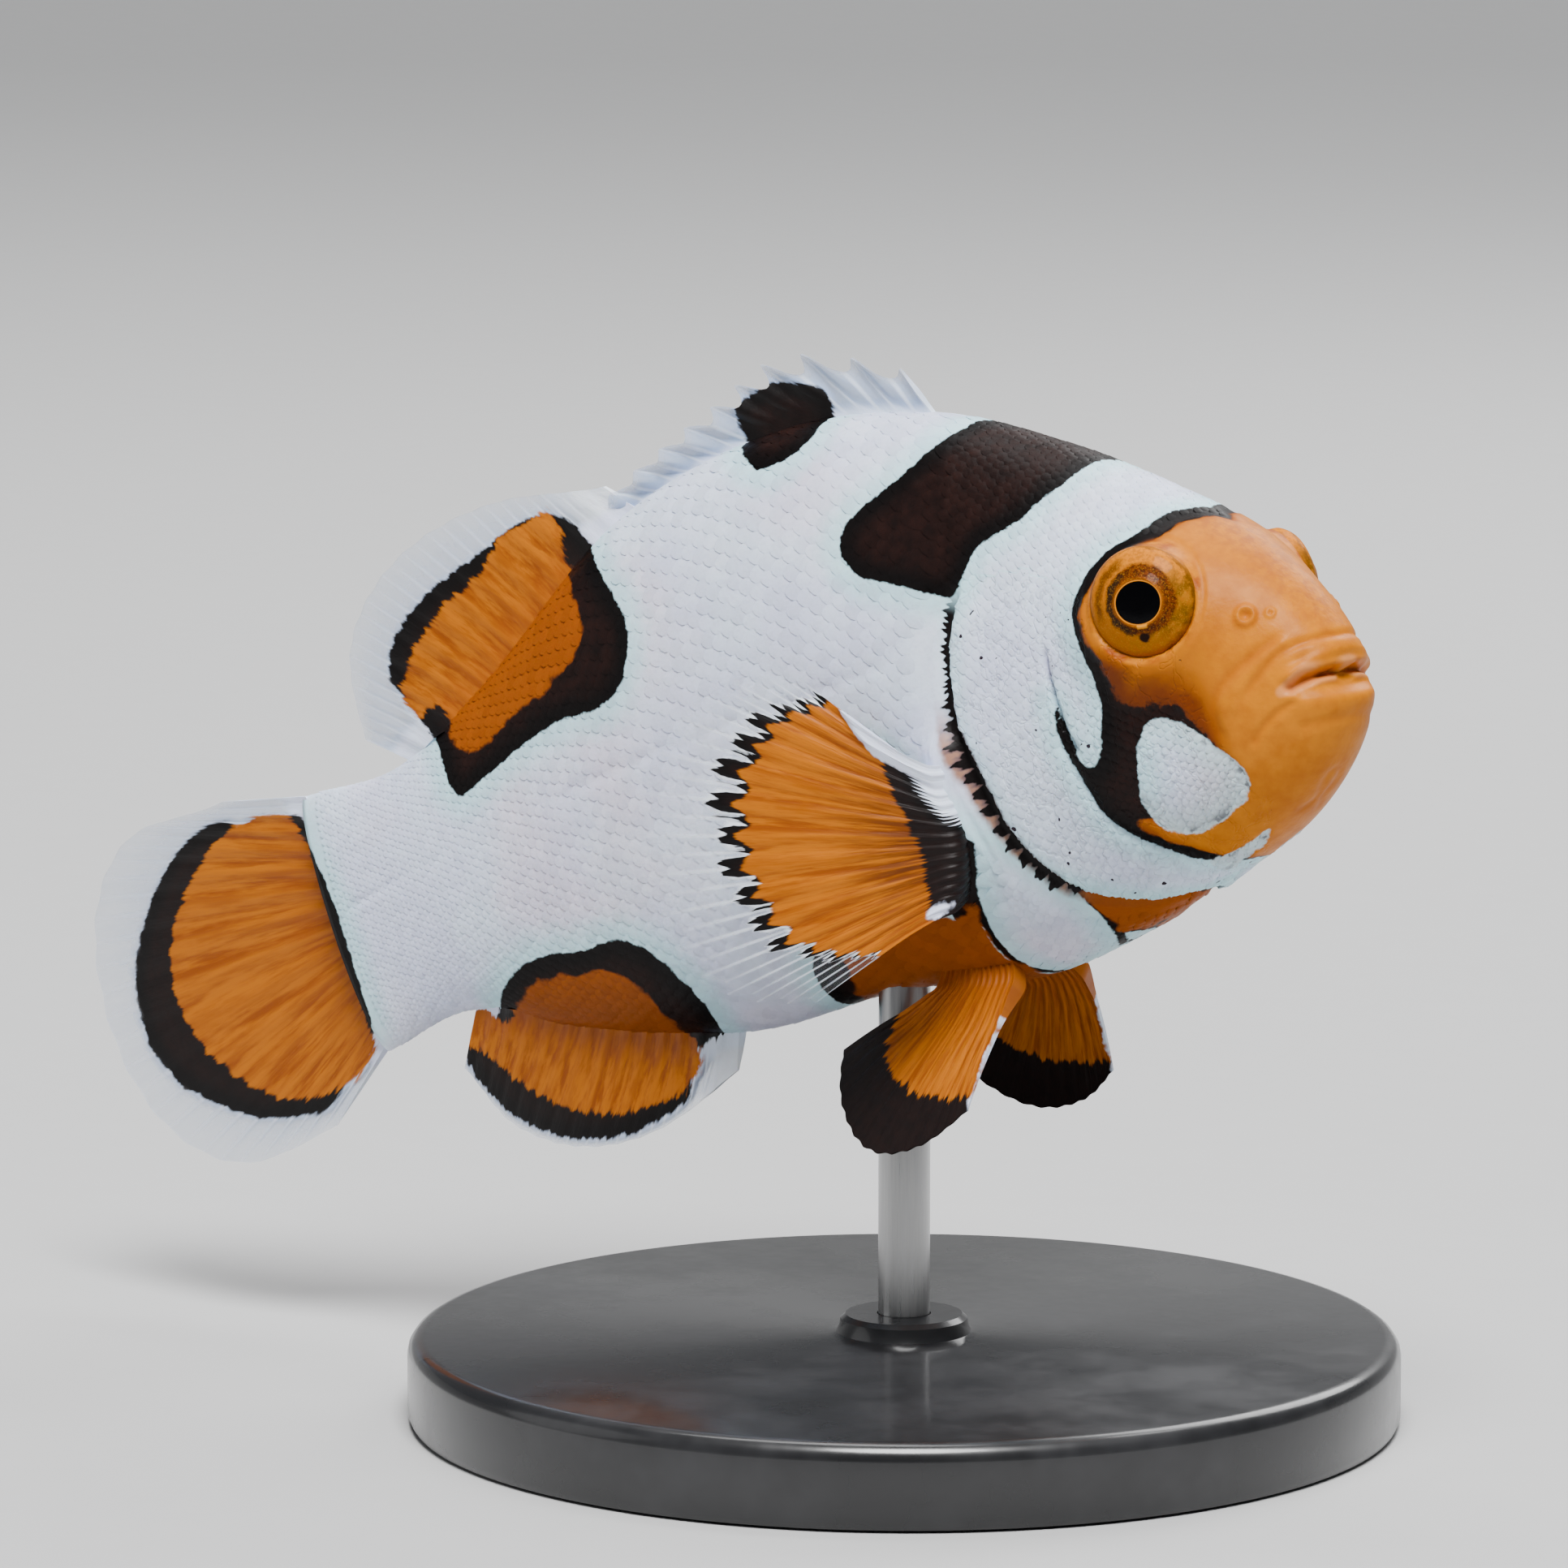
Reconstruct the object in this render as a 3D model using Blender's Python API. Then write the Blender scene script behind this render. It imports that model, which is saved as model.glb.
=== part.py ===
"""Clownfish, a still life-size display model on a plain stand.

Body coordinates are in millimetres and follow the fish's own bent axis: u is the
distance behind the snout along the axis, z the height above it, y the distance to
the fish's left.  to_world() carries them into the model's frame, in which the head
looks along +X, +Z is up, and the origin is the centre of the stand's underside.
"""

import math

import bmesh
import bpy
import numpy as np

MM = 0.001

# Driving sizes, in millimetres and degrees.
STANDARD_LENGTH = 60.0      # snout to the root of the tail fin
BODY_PITCH = 13.4           # head-up tilt of the whole fish on its stand
BEND_START = 14.0           # the axis is straight as far back as this
SIDE_BEND = 12.0            # yaw of the axis half way along the bend, towards -Y
TAIL_YAW = 4.5              # yaw that is left at the tail root
DROOP = 7.0                 # drop of the tail, in proportion to the bend
TAIL_DROOP = 5.0            # further drop, with the square of the bend
GAP = 0.3                   # width of the cuts between neighbouring parts

# Body outline at stations that crowd towards the snout: place, back, belly, half width.
STATIONS = np.array([0.0, 0.6, 2.4, 5.4, 9.6, 15.0, 21.6, 29.4, 38.4, 48.6, 54.2, 60.0])
BACK = np.array([-0.6, 0.95, 3.65, 6.5, 8.95, 11.6, 14.2, 15.1, 13.3, 7.6, 5.7, 6.4])
BELLY = np.array([-1.4, -3.35, -5.6, -7.65, -9.3, -11.0, -12.2, -11.5, -11.7, -9.0, -6.6, -6.9])
HALF_WIDTH = np.array([0.75, 1.95, 3.2, 4.5, 5.5, 5.95, 6.0, 5.55, 4.3, 2.5, 1.8, 1.3])
AXIS_LEVEL = 0.45           # the widest level, as a share of the way from belly to back
SIDE_ROUND = 0.92           # roundness of the flanks, 1 for an ellipse
SNOUT_CAP = 0.15            # how far the closed snout reaches ahead of the first station

# Cuts between head, trunk and tail stalk, read from the back down to the belly.
NECK_CUT = [16.4, 17.3, 18.7, 18.7, 17.4, 15.0, 10.5]
STALK_CUT = 52.0

# Eyes: an oblate ball that looks a little forward, in a swollen orbit.
EYE_U, EYE_Z, EYE_Y = 7.6, 3.5, 4.05
EYE_RADIUS = 2.6
EYE_DEPTH = 1.9
EYE_FORWARD = 22.0
ORBIT_SWELL = 0.95
ORBIT_RADIUS = 3.6

# Gill covers: plates let into the sides of the head.
GILL_TOP, GILL_FOOT = 0.42, -0.74      # rise on the section, as the sine of the angle
GILL_FRONT = [14.0, 12.9, 12.3, 11.9, 11.3, 10.5, 9.6]
GILL_CORNER = 2.2           # how far the rounded corners keep from the gill opening
GILL_EDGE = 0.2             # how far the rest of the plate keeps from it
GILL_THICKNESS = 0.9
GILL_PROUD = 0.12

# Lower jaw, seen from the side: mouth line, mouth corner, and the crease down to the chin.
JAW_OUTLINE = [(-2.0, -1.15), (2.1, -1.5), (4.4, -3.6), (6.6, -7.0), (7.6, -12.0), (-2.0, -12.0)]

# Stand.
BASE_RADIUS = 23.0
BASE_HEIGHT = 4.0
BASE_CHAMFER = 0.8
BOSS_RADIUS = 3.0
BOSS_HEIGHT = 0.9
ROD_RADIUS = 1.2
ROD_U = 29.4                # where the rod meets the belly
ROD_FREE_LENGTH = 16.0      # between the base and the belly
ROD_IN_BODY = 5.0
ROD_IN_BASE = 2.4

BODY_SIDES = 28             # points round a section of the body
FIN_ROOT_GAP = 0.35


# ---------------------------------------------------------------------------
# Curves and the bent body axis
# ---------------------------------------------------------------------------

def curve(values, s, knots=None):
    """Smooth curve through values at the knots (evenly spaced if none), read at s."""
    values = np.asarray(values, float)
    knots = np.linspace(0.0, 1.0, len(values)) if knots is None else knots
    flat = values.reshape(len(values), -1)
    slope = np.stack([np.gradient(flat[:, k], knots) for k in range(flat.shape[1])], axis=1)
    s = np.clip(np.asarray(s, float), knots[0], knots[-1])
    i = np.clip(np.searchsorted(knots, s, side="right") - 1, 0, len(knots) - 2)
    step = (knots[i + 1] - knots[i])[..., None]
    t = (s - knots[i])[..., None] / step
    out = ((2 * t ** 3 - 3 * t ** 2 + 1) * flat[i] + (t ** 3 - 2 * t ** 2 + t) * step * slope[i]
           + (3 * t ** 2 - 2 * t ** 3) * flat[i + 1] + (t ** 3 - t ** 2) * step * slope[i + 1])
    return out.reshape(s.shape + values.shape[1:])


def body_outline(u):
    """Back height, belly height and half width at u, smooth in the square root of u."""
    root = np.sqrt(np.clip(u, 0.0, STANDARD_LENGTH))
    knots = np.sqrt(STATIONS)
    return tuple(curve(values, root, knots) for values in (BACK, BELLY, HALF_WIDTH))


def axis_angles(u):
    """Yaw and pitch of the axis at u, in radians; it is straight before BEND_START."""
    bend = np.clip((u - BEND_START) / (STANDARD_LENGTH - BEND_START), 0.0, 1.0)
    yaw = 4 * SIDE_BEND * bend * (1 - bend) + TAIL_YAW * bend ** 2
    pitch = -(DROOP * bend + TAIL_DROOP * bend ** 2)
    return np.radians(yaw), np.radians(pitch)


def axis_directions(u):
    """Unit vectors forward, left and up at u along the bent axis."""
    yaw, pitch = axis_angles(np.asarray(u, float))
    forward = np.stack([np.cos(yaw) * np.cos(pitch), np.sin(yaw) * np.cos(pitch), -np.sin(pitch)], -1)
    left = np.stack([-np.sin(yaw), np.cos(yaw), np.zeros_like(yaw)], -1)
    return forward, left, np.cross(forward, left)


AXIS_STEPS = np.linspace(-2.0, 90.0, 1841)
_backward = -axis_directions(AXIS_STEPS)[0]
AXIS_POINTS = np.cumsum(_backward, axis=0) * (AXIS_STEPS[1] - AXIS_STEPS[0])
AXIS_POINTS -= AXIS_POINTS[np.argmin(np.abs(AXIS_STEPS))]


def bent(u, z, y):
    """Body coordinates carried onto the bent axis, before the fish is set on its stand."""
    u, z, y = np.broadcast_arrays(*(np.asarray(v, float) for v in (u, z, y)))
    centre = np.stack([np.interp(u, AXIS_STEPS, AXIS_POINTS[:, k]) for k in range(3)], -1)
    _, left, up = axis_directions(u)
    return centre + left * y[..., None] + up * z[..., None]


def pitched(points):
    """Turn points of the bent fish head-up by BODY_PITCH."""
    p = math.radians(BODY_PITCH)
    turn = np.array([[math.cos(p), 0, -math.sin(p)], [0, 1, 0], [math.sin(p), 0, math.cos(p)]])
    return points @ turn.T


ROD_POINT = pitched(bent(ROD_U, body_outline(ROD_U)[1], 0.0))
STAND_SHIFT = np.array([0.0, 0.0, BASE_HEIGHT + ROD_FREE_LENGTH]) - ROD_POINT


def to_world(u, z, y):
    """Body coordinates to the model's frame, in millimetres."""
    return pitched(bent(u, z, y)) + STAND_SHIFT


# ---------------------------------------------------------------------------
# The body's surface
# ---------------------------------------------------------------------------

def section(u, angle):
    """Height and side distance on the section at u; angle 90 is the back, 0 the left."""
    back, belly, width = body_outline(u)
    level = AXIS_LEVEL * back + (1 - AXIS_LEVEL) * belly
    rise, side = np.sin(angle), np.cos(angle)
    z = np.where(rise > 0, level + (back - level) * rise, level + (level - belly) * rise)
    y = width * np.sign(side) * np.abs(side) ** SIDE_ROUND
    swell = ORBIT_SWELL * np.exp(-(np.hypot(u - EYE_U, z - EYE_Z) / ORBIT_RADIUS) ** 4)
    return z, y + np.sign(side) * swell * np.abs(side)


def flank(u, rise):
    """Side distance of the right flank (negative) and height, at a rise of -1 to 1."""
    z, y = section(u, np.arcsin(np.clip(rise, -1.0, 1.0)))
    return z, -y


def neck_cut(angle):
    """Place of the head's rear edge at an angle round the body, the gill opening's line."""
    down_the_side = (1 - np.sin(angle)) / 2
    return curve(NECK_CUT, down_the_side)


# ---------------------------------------------------------------------------
# Mesh builders
# ---------------------------------------------------------------------------

def material(name, colour, roughness, metallic=0.0):
    made = bpy.data.materials.new(name)
    made.use_nodes = True
    shader = made.node_tree.nodes["Principled BSDF"]
    shader.inputs["Base Color"].default_value = (*colour, 1.0)
    shader.inputs["Roughness"].default_value = roughness
    shader.inputs["Metallic"].default_value = metallic
    made.diffuse_color = (*colour, 1.0)
    return made


def solid(name, points, faces, finish):
    """A closed smooth-shaded object from points in millimetres, faces turned outwards."""
    mesh = bpy.data.meshes.new(name)
    mesh.from_pydata([tuple(p) for p in np.asarray(points) * MM], [], faces)
    work = bmesh.new()
    work.from_mesh(mesh)
    bmesh.ops.recalc_face_normals(work, faces=work.faces)
    work.to_mesh(mesh)
    work.free()
    mesh.shade_smooth()
    mesh.set_sharp_from_angle(angle=math.radians(40))
    mesh.materials.append(finish)
    made = bpy.data.objects.new(name, mesh)
    bpy.context.collection.objects.link(made)
    return made


def tube(rings, apexes=None):
    """Points and faces of a tube of rings, each end closed by a fan to its apex or by one flat face."""
    count, sides = rings.shape[:2]
    points = rings.reshape(-1, 3)
    grid = np.arange(count * sides).reshape(count, sides)
    ring_pairs = zip(grid[:-1], grid[1:])
    faces = [(a[j - 1], a[j], b[j], b[j - 1]) for a, b in ring_pairs for j in range(sides)]
    if apexes is None:
        return points, faces + [tuple(grid[0]), tuple(grid[-1])]
    for ring, centre in ((grid[0], count * sides), (grid[-1], count * sides + 1)):
        faces += [(ring[j - 1], ring[j], centre) for j in range(sides)]
    return np.concatenate([points, apexes]), faces


def sheet_normals(sheet):
    """Unit normals of a grid of points, from its own differences along both ways."""
    normal = np.cross(np.gradient(sheet, axis=0), np.gradient(sheet, axis=1))
    return normal / np.linalg.norm(normal, axis=-1, keepdims=True)


def slab(sheet, upper, lower):
    """Points and faces of a grid sheet thickened by upper and lower along its normals."""
    rows, columns = sheet.shape[:2]
    normal = sheet_normals(sheet)
    upper = np.broadcast_to(upper, (rows, columns))[..., None]
    lower = np.broadcast_to(lower, (rows, columns))[..., None]
    points = np.concatenate([(sheet + normal * upper).reshape(-1, 3),
                             (sheet - normal * lower).reshape(-1, 3)])
    grid = np.arange(rows * columns).reshape(rows, columns)
    faces = []
    for side in (grid, grid + rows * columns):
        faces += [tuple(f) for f in np.stack([side[:-1, :-1], side[1:, :-1], side[1:, 1:],
                                              side[:-1, 1:]], -1).reshape(-1, 4)]
    rim = np.concatenate([grid[0, :-1], grid[:-1, -1], grid[-1, :0:-1], grid[:0:-1, 0]])
    under = rim + rows * columns
    for j in range(len(rim)):
        k = (j + 1) % len(rim)
        faces.append((rim[j], rim[k], under[k], under[j]))
    return points, faces


def cut(target, cutter, operation="DIFFERENCE"):
    """Cut one object with another, which stays as a hidden guide."""
    cutter.hide_render = True
    cutter.display_type = "WIRE"
    modifier = target.modifiers.new(cutter.name, "BOOLEAN")
    modifier.operation = operation
    modifier.object = cutter


# ---------------------------------------------------------------------------
# The fish's body
# ---------------------------------------------------------------------------

def body_length(name, front_edge, rear_edge, rings, finish, front_apex=None, rear_apex=None):
    """A length of the body between two edges, each a function of the angle round it."""
    angle = np.linspace(0.0, 2 * math.pi, BODY_SIDES, endpoint=False)
    front, rear = front_edge(angle), rear_edge(angle)
    # Rings crowd towards the front, where the outline turns fastest.
    share = np.linspace(0.0, 1.0, rings)[:, None] ** (1.7 if front_apex is not None else 1.0)
    u = front + (rear - front) * share
    z, y = section(u, np.broadcast_to(angle, u.shape))

    def apex(edge, place):
        middle = np.mean(edge) if place is None else place
        back, belly, _ = body_outline(np.clip(middle, 0.0, STANDARD_LENGTH))
        return to_world(middle, (back + belly) / 2, 0.0)

    points, faces = tube(to_world(u, z, y), [apex(front, front_apex), apex(rear, rear_apex)])
    return solid(name, points, faces, finish)


def jaw_prism(name, outline, finish):
    """A block with a side outline in u and z, wide enough to pass through the head."""
    half = 10.0
    loops = [to_world(*np.array(outline).T, side) for side in (-half, half)]
    count = len(outline)
    faces = [tuple(range(count)), tuple(range(count, 2 * count))]
    faces += [(j, (j + 1) % count, count + (j + 1) % count, count + j) for j in range(count)]
    return solid(name, np.concatenate(loops), faces, finish)


def gill_plate(name, side, margin, upper, lower, finish):
    """A plate on the side of the head: the surface between the cheek and the gill edge.

    margin widens it all round; upper and lower are its thickness outside and inside the
    surface.
    """
    height = 12.0           # the level of the flank that a rise of one spans
    rise = np.linspace(GILL_TOP + margin / height, GILL_FOOT - margin / height, 10)
    down = np.linspace(0.0, 1.0, len(rise))
    middle = np.sin(math.pi * down)
    front = curve(GILL_FRONT, down) - margin
    rear = (neck_cut(np.arcsin(rise)) - GILL_EDGE - GILL_CORNER * (1 - middle) ** 3
            + 4 * margin * middle)
    u = front + (rear - front) * np.linspace(0.0, 1.0, 6)[:, None]
    z, y = flank(u, np.broadcast_to(rise, u.shape))
    sheet = to_world(u, z, -side * y)
    if side > 0:
        sheet = sheet[:, ::-1]
    return solid(name, *slab(sheet, upper, lower), finish)


def eye_ball(name, side, clearance, finish):
    """An oblate ball at one side of the head, its short axis turned a little forward."""
    forward, left, up = axis_directions(EYE_U)
    turn = math.radians(EYE_FORWARD)
    look = math.cos(turn) * side * left + math.sin(turn) * forward
    across = np.cross(up, look)
    centre = bent(EYE_U, EYE_Z, side * EYE_Y)
    latitude = np.linspace(0.0, math.pi, 10)[1:-1, None]
    around = np.linspace(0.0, 2 * math.pi, 20, endpoint=False)[None, :]
    wide, deep = EYE_RADIUS + clearance, EYE_DEPTH + clearance
    ball = (centre + deep * np.cos(latitude)[..., None] * look
            + wide * (np.sin(latitude) * np.cos(around))[..., None] * across
            + wide * (np.sin(latitude) * np.sin(around))[..., None] * up)
    poles = np.array([centre + deep * look, centre - deep * look])
    return solid(name, *tube(pitched(ball) + STAND_SHIFT, pitched(poles) + STAND_SHIFT), finish)


def build_head(skin, eye):
    """Head with its lower jaw, gill covers and eyes, each in a cut or socket of its own."""
    nose = -SNOUT_CAP
    head = body_length("head", lambda a: 0.0 * a, neck_cut, 20, skin, front_apex=nose)
    jaw = body_length("lower_jaw", lambda a: 0.0 * a, lambda a: neck_cut(a) - 1.0, 20, skin,
                      front_apex=nose)
    room = [(u + (GAP if u > 0 else 0.0), z + (GAP if z > -4.0 else 0.0)) for u, z in JAW_OUTLINE]
    cut(jaw, jaw_prism("jaw_block", JAW_OUTLINE, skin), "INTERSECT")
    cut(head, jaw_prism("jaw_room", room, skin))
    for side, word in ((-1, "right"), (1, "left")):
        gill_plate("gill_cover_" + word, side, 0.0, GILL_PROUD, GILL_THICKNESS, skin)
        cut(head, gill_plate("gill_room_" + word, side, GAP, 1.5, GILL_THICKNESS + GAP, skin))
        eye_ball("eye_" + word, side, 0.0, eye)
        cut(head, eye_ball("eye_socket_" + word, side, GAP, skin))


def build_trunk(skin):
    """Trunk, drilled for the stand's rod, and the stalk of the tail behind it."""
    trunk = body_length("trunk", lambda a: neck_cut(a) + GAP, lambda a: STALK_CUT + 0.0 * a, 18, skin)
    body_length("tail_stalk", lambda a: STALK_CUT + GAP + 0.0 * a,
                lambda a: STANDARD_LENGTH + 0.0 * a, 6, skin)
    top = BASE_HEIGHT + ROD_FREE_LENGTH + ROD_IN_BODY + GAP
    below = BASE_HEIGHT + ROD_FREE_LENGTH / 2
    cut(trunk, turned("rod_hole", [(ROD_RADIUS + GAP, below), (ROD_RADIUS + GAP, top)], 20, skin))


# ---------------------------------------------------------------------------
# Fins
# ---------------------------------------------------------------------------

def fan(roots, angles, lengths, rays, rows, notch):
    """A fin's sheet in its own plane.

    Roots, ray directions in degrees and ray lengths follow smooth curves through a few
    values, from the first ray to the last; between rays the margin is notched.
    Returns the plane coordinates and each point's share of the way out along its ray.
    """
    across = np.linspace(0.0, 1.0, 2 * rays - 1)
    root, angle = curve(roots, across), np.radians(curve(angles, across))
    length = curve(lengths, across) * (1 - notch * (np.arange(2 * rays - 1) % 2))
    out = np.linspace(0.0, 1.0, rows)
    way = np.stack([np.cos(angle), np.sin(angle)], -1)
    sheet = root[:, None] + (length[:, None] * out)[..., None] * way[:, None]
    return sheet, np.broadcast_to(out, sheet.shape[:2])


def fin_thickness(out, root, tip):
    """Half thickness that falls from root to tip and is fuller on the rays."""
    ridge = 1.0 - 0.18 * (np.arange(out.shape[0]) % 2)[:, None] * np.ones_like(out)
    return 0.5 * (root + (tip - root) * out) * ridge


def median_fin(name, roots, angles, lengths, rays, rows, notch, finish, wave=0.0, root=1.1):
    """A fin in the fish's middle plane, which bends with the axis and waves a little."""
    sheet, out = fan(roots, angles, lengths, rays, rows, notch)
    along = np.linspace(0.0, 2 * math.pi, sheet.shape[0])[:, None]
    y = wave * np.sin(along) * out ** 2
    half = fin_thickness(out, root, 0.6)
    return solid(name, *slab(to_world(sheet[..., 0], sheet[..., 1], y), half, half), finish)


def root_line(start, end, edge, lift):
    """Root points of a fin along the back (edge 0) or belly (edge 1), lifted clear of it."""
    u = np.linspace(start, end, 5)
    return np.stack([u, body_outline(u)[edge] + lift], -1)


def build_median_fins(colour, clear):
    """Spiny and soft dorsal fins, anal fin and tail fin, from their first ray to their last."""
    lift = FIN_ROOT_GAP
    median_fin("dorsal_fin_spiny", root_line(21.4, 38.2, 0, lift), [60, 46, 30, 10, 8],
               [2.3, 4.3, 3.0, 1.8, 1.6], 10, 5, 0.26, clear, wave=0.4, root=0.9)
    median_fin("dorsal_fin_soft", root_line(39.2, 51.6, 0, lift), [54, 54, 52, 47, 36],
               [2.6, 5.5, 7.2, 7.3, 3.6], 14, 5, 0.04, colour, wave=0.4)
    median_fin("anal_fin", root_line(40.7, 53.0, 1, -lift), [-52, -50, -47, -40, -30],
               [2.2, 4.3, 5.7, 5.3, 2.5], 13, 5, 0.04, colour, wave=-0.3)
    level = np.linspace(6.2, -6.7, 7)
    median_fin("tail_fin", np.stack([STANDARD_LENGTH + lift + 0.0 * level, level], -1),
               [17, 21, 15, 3, -11, -22, -27], [5.2, 12.3, 16.2, 17.0, 15.4, 11.5, 5.0],
               15, 6, 0.03, colour, wave=0.5, root=1.4)


def paired_fin(name, side, place, tilt, roots, angles, lengths, rays, notch, cup, finish):
    """A fin at one flank, flat in a plane that starts at place and is tilted outwards.

    The plane's first direction is given by tilt, as shares of backward, outward and
    down; its second is the nearest direction to up (or back, for a fin that points
    down).  cup bends the fin back towards the body at its tip.
    """
    u, z, y = place
    forward, left, up = axis_directions(u)
    back, outward = -forward, side * left
    first = tilt[0] * back + tilt[1] * outward - tilt[2] * up
    first = first / np.linalg.norm(first)
    second = back if tilt[2] > tilt[0] else up
    second = second - np.dot(second, first) * first
    second = second / np.linalg.norm(second)
    normal = np.cross(first, second)
    normal = normal * np.sign(np.dot(normal, outward))
    sheet, out = fan(roots, angles, lengths, rays, 6, notch)
    bow = cup * (out ** 2 - out)[..., None] * normal
    points = bent(u, z, side * y) + sheet[..., :1] * first + sheet[..., 1:] * second - bow
    half = fin_thickness(out, 1.0, 0.55)
    return solid(name, *slab(pitched(points) + STAND_SHIFT, half, half), finish)


def build_paired_fins(colour):
    """Pectoral fins held out from the flanks, and pelvic fins splayed below the belly."""
    for side, word, splay in ((-1, "right", 0.50), (1, "left", 0.64)):
        paired_fin("pectoral_fin_" + word, side, (21.0, -4.8, 6.75), (0.91, 0.41, 0.0),
                   [(-0.2, 2.9), (-0.6, 1.2), (-0.7, -0.6), (-0.3, -2.3), (0.4, -3.8)],
                   [46, 30, 8, -12, -24], [7.0, 12.4, 14.0, 12.0, 6.8], 16, 0.05, 2.2, colour)
        paired_fin("pelvic_fin_" + word, side, (23.2, -11.6, 2.3), (0.0, splay, 0.87),
                   [(1.0, -2.2), (0.9, -1.0), (0.8, 0.2), (0.7, 1.4), (0.6, 2.5)],
                   [19, 25, 35, 49, 65], [6.9, 8.5, 8.7, 7.3, 4.8], 7, 0.06, 0.8, colour)


# ---------------------------------------------------------------------------
# Stand
# ---------------------------------------------------------------------------

def turned(name, profile, sides, finish):
    """A solid of revolution about the Z axis from (radius, height) points, closed at both ends."""
    turn = np.linspace(0.0, 2 * math.pi, sides, endpoint=False)
    radius, height = np.array(profile).T
    rings = np.stack([radius[:, None] * np.cos(turn), radius[:, None] * np.sin(turn),
                      height[:, None] + 0.0 * turn], -1)
    return solid(name, *tube(rings), finish)


def build_stand(lacquer, steel):
    """A round base with a drilled boss, and the rod that stands in it and holds the fish."""
    top = BASE_HEIGHT
    hole = ROD_RADIUS + GAP
    floor = top - ROD_IN_BASE
    turned("stand_base", [(BASE_RADIUS - 0.5, 0.0), (BASE_RADIUS, 0.5), (BASE_RADIUS, top - BASE_CHAMFER),
                          (BASE_RADIUS - BASE_CHAMFER, top), (BOSS_RADIUS + 0.5, top),
                          (BOSS_RADIUS, top + 0.4), (BOSS_RADIUS - 0.3, top + BOSS_HEIGHT),
                          (hole, top + BOSS_HEIGHT), (hole, floor)], 40, lacquer)
    tip = top + ROD_FREE_LENGTH + ROD_IN_BODY
    turned("stand_rod", [(ROD_RADIUS - 0.2, floor + GAP), (ROD_RADIUS, floor + GAP + 0.2),
                         (ROD_RADIUS, tip - 0.5), (ROD_RADIUS - 0.5, tip)], 24, steel)


def main():
    for old in list(bpy.data.objects):
        bpy.data.objects.remove(old, do_unlink=True)
    skin = material("white_scaled_skin", (0.80, 0.84, 0.90), 0.45)
    eye = material("eye_amber", (0.42, 0.16, 0.02), 0.08)
    colour = material("orange_fin", (0.83, 0.30, 0.02), 0.45)
    clear = material("pale_fin_web", (0.62, 0.68, 0.76), 0.40)
    lacquer = material("stand_black_lacquer", (0.02, 0.02, 0.022), 0.35)
    steel = material("stand_brushed_steel", (0.62, 0.62, 0.60), 0.30, 1.0)
    build_head(skin, eye)
    build_trunk(skin)
    build_median_fins(colour, clear)
    build_paired_fins(colour)
    build_stand(lacquer, steel)


main()
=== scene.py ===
import functools
import math

import bpy
import numpy as np
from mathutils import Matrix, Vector


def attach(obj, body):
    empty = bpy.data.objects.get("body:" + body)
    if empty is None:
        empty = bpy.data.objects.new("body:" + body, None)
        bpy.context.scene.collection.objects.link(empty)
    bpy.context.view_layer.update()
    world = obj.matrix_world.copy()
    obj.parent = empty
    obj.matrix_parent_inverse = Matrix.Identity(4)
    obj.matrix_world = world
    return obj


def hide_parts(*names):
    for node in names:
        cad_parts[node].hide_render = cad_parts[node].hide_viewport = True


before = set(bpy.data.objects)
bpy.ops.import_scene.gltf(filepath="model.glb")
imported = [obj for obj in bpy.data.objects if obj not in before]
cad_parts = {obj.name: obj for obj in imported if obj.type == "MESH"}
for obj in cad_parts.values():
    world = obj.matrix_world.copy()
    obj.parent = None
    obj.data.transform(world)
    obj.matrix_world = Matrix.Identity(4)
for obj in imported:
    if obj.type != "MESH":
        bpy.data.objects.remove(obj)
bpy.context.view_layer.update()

bl_info = {
    "name": "Clownfish display model",
    "version": (1, 0, 0),
    "blender": (4, 5, 0),
    "location": "View3D > Sidebar > Clownfish",
    "description": "Skin, scales, eyes, fins and stand finishes of a life-size clownfish model",
    "category": "Add Mesh",
}

MM = 0.001

# The fish's own coordinates are millimetres on its bent axis: u behind the snout, z up, y left.
STANDARD_LENGTH = 60.0
BODY_PITCH = 13.4
BEND_START, SIDE_BEND, TAIL_YAW, DROOP, TAIL_DROOP = 14.0, 12.0, 4.5, 7.0, 5.0
# Heights of back and belly over the axis, and half widths, at places from snout to tail root.
STATIONS = np.array([0.0, 0.6, 2.4, 5.4, 9.6, 15.0, 21.6, 29.4, 38.4, 48.6, 54.2, 60.0])
BACK = np.array([-0.6, 0.95, 3.65, 6.5, 8.95, 11.6, 14.2, 15.1, 13.3, 7.6, 5.7, 6.4])
BELLY = np.array([-1.4, -3.35, -5.6, -7.65, -9.3, -11.0, -12.2, -11.5, -11.7, -9.0, -6.6, -6.9])
HALF_WIDTH = np.array([0.75, 1.95, 3.2, 4.5, 5.5, 5.95, 6.0, 5.55, 4.3, 2.5, 1.8, 1.3])
AXIS_LEVEL, SIDE_ROUND = 0.45, 0.92
EYE_U, EYE_Z, EYE_Y = 7.6, 3.5, 4.05
EYE_RADIUS, EYE_DEPTH, EYE_FORWARD = 2.6, 1.9, 22.0
EYE_EDGE, EYE_FLATNESS = 2.5, 2.6       # where the ball meets its socket; power of its superellipse
PUPIL_SHIFT = 0.17
ORBIT_SWELL, ORBIT_RADIUS = 0.95, 3.6
ROD_U, ROD_FOOT = 29.4, 20.0
FIN_ROOT_GAP = 0.35


# ---------------------------------------------------------------------------
# Curves and the bent body axis
# ---------------------------------------------------------------------------

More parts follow.
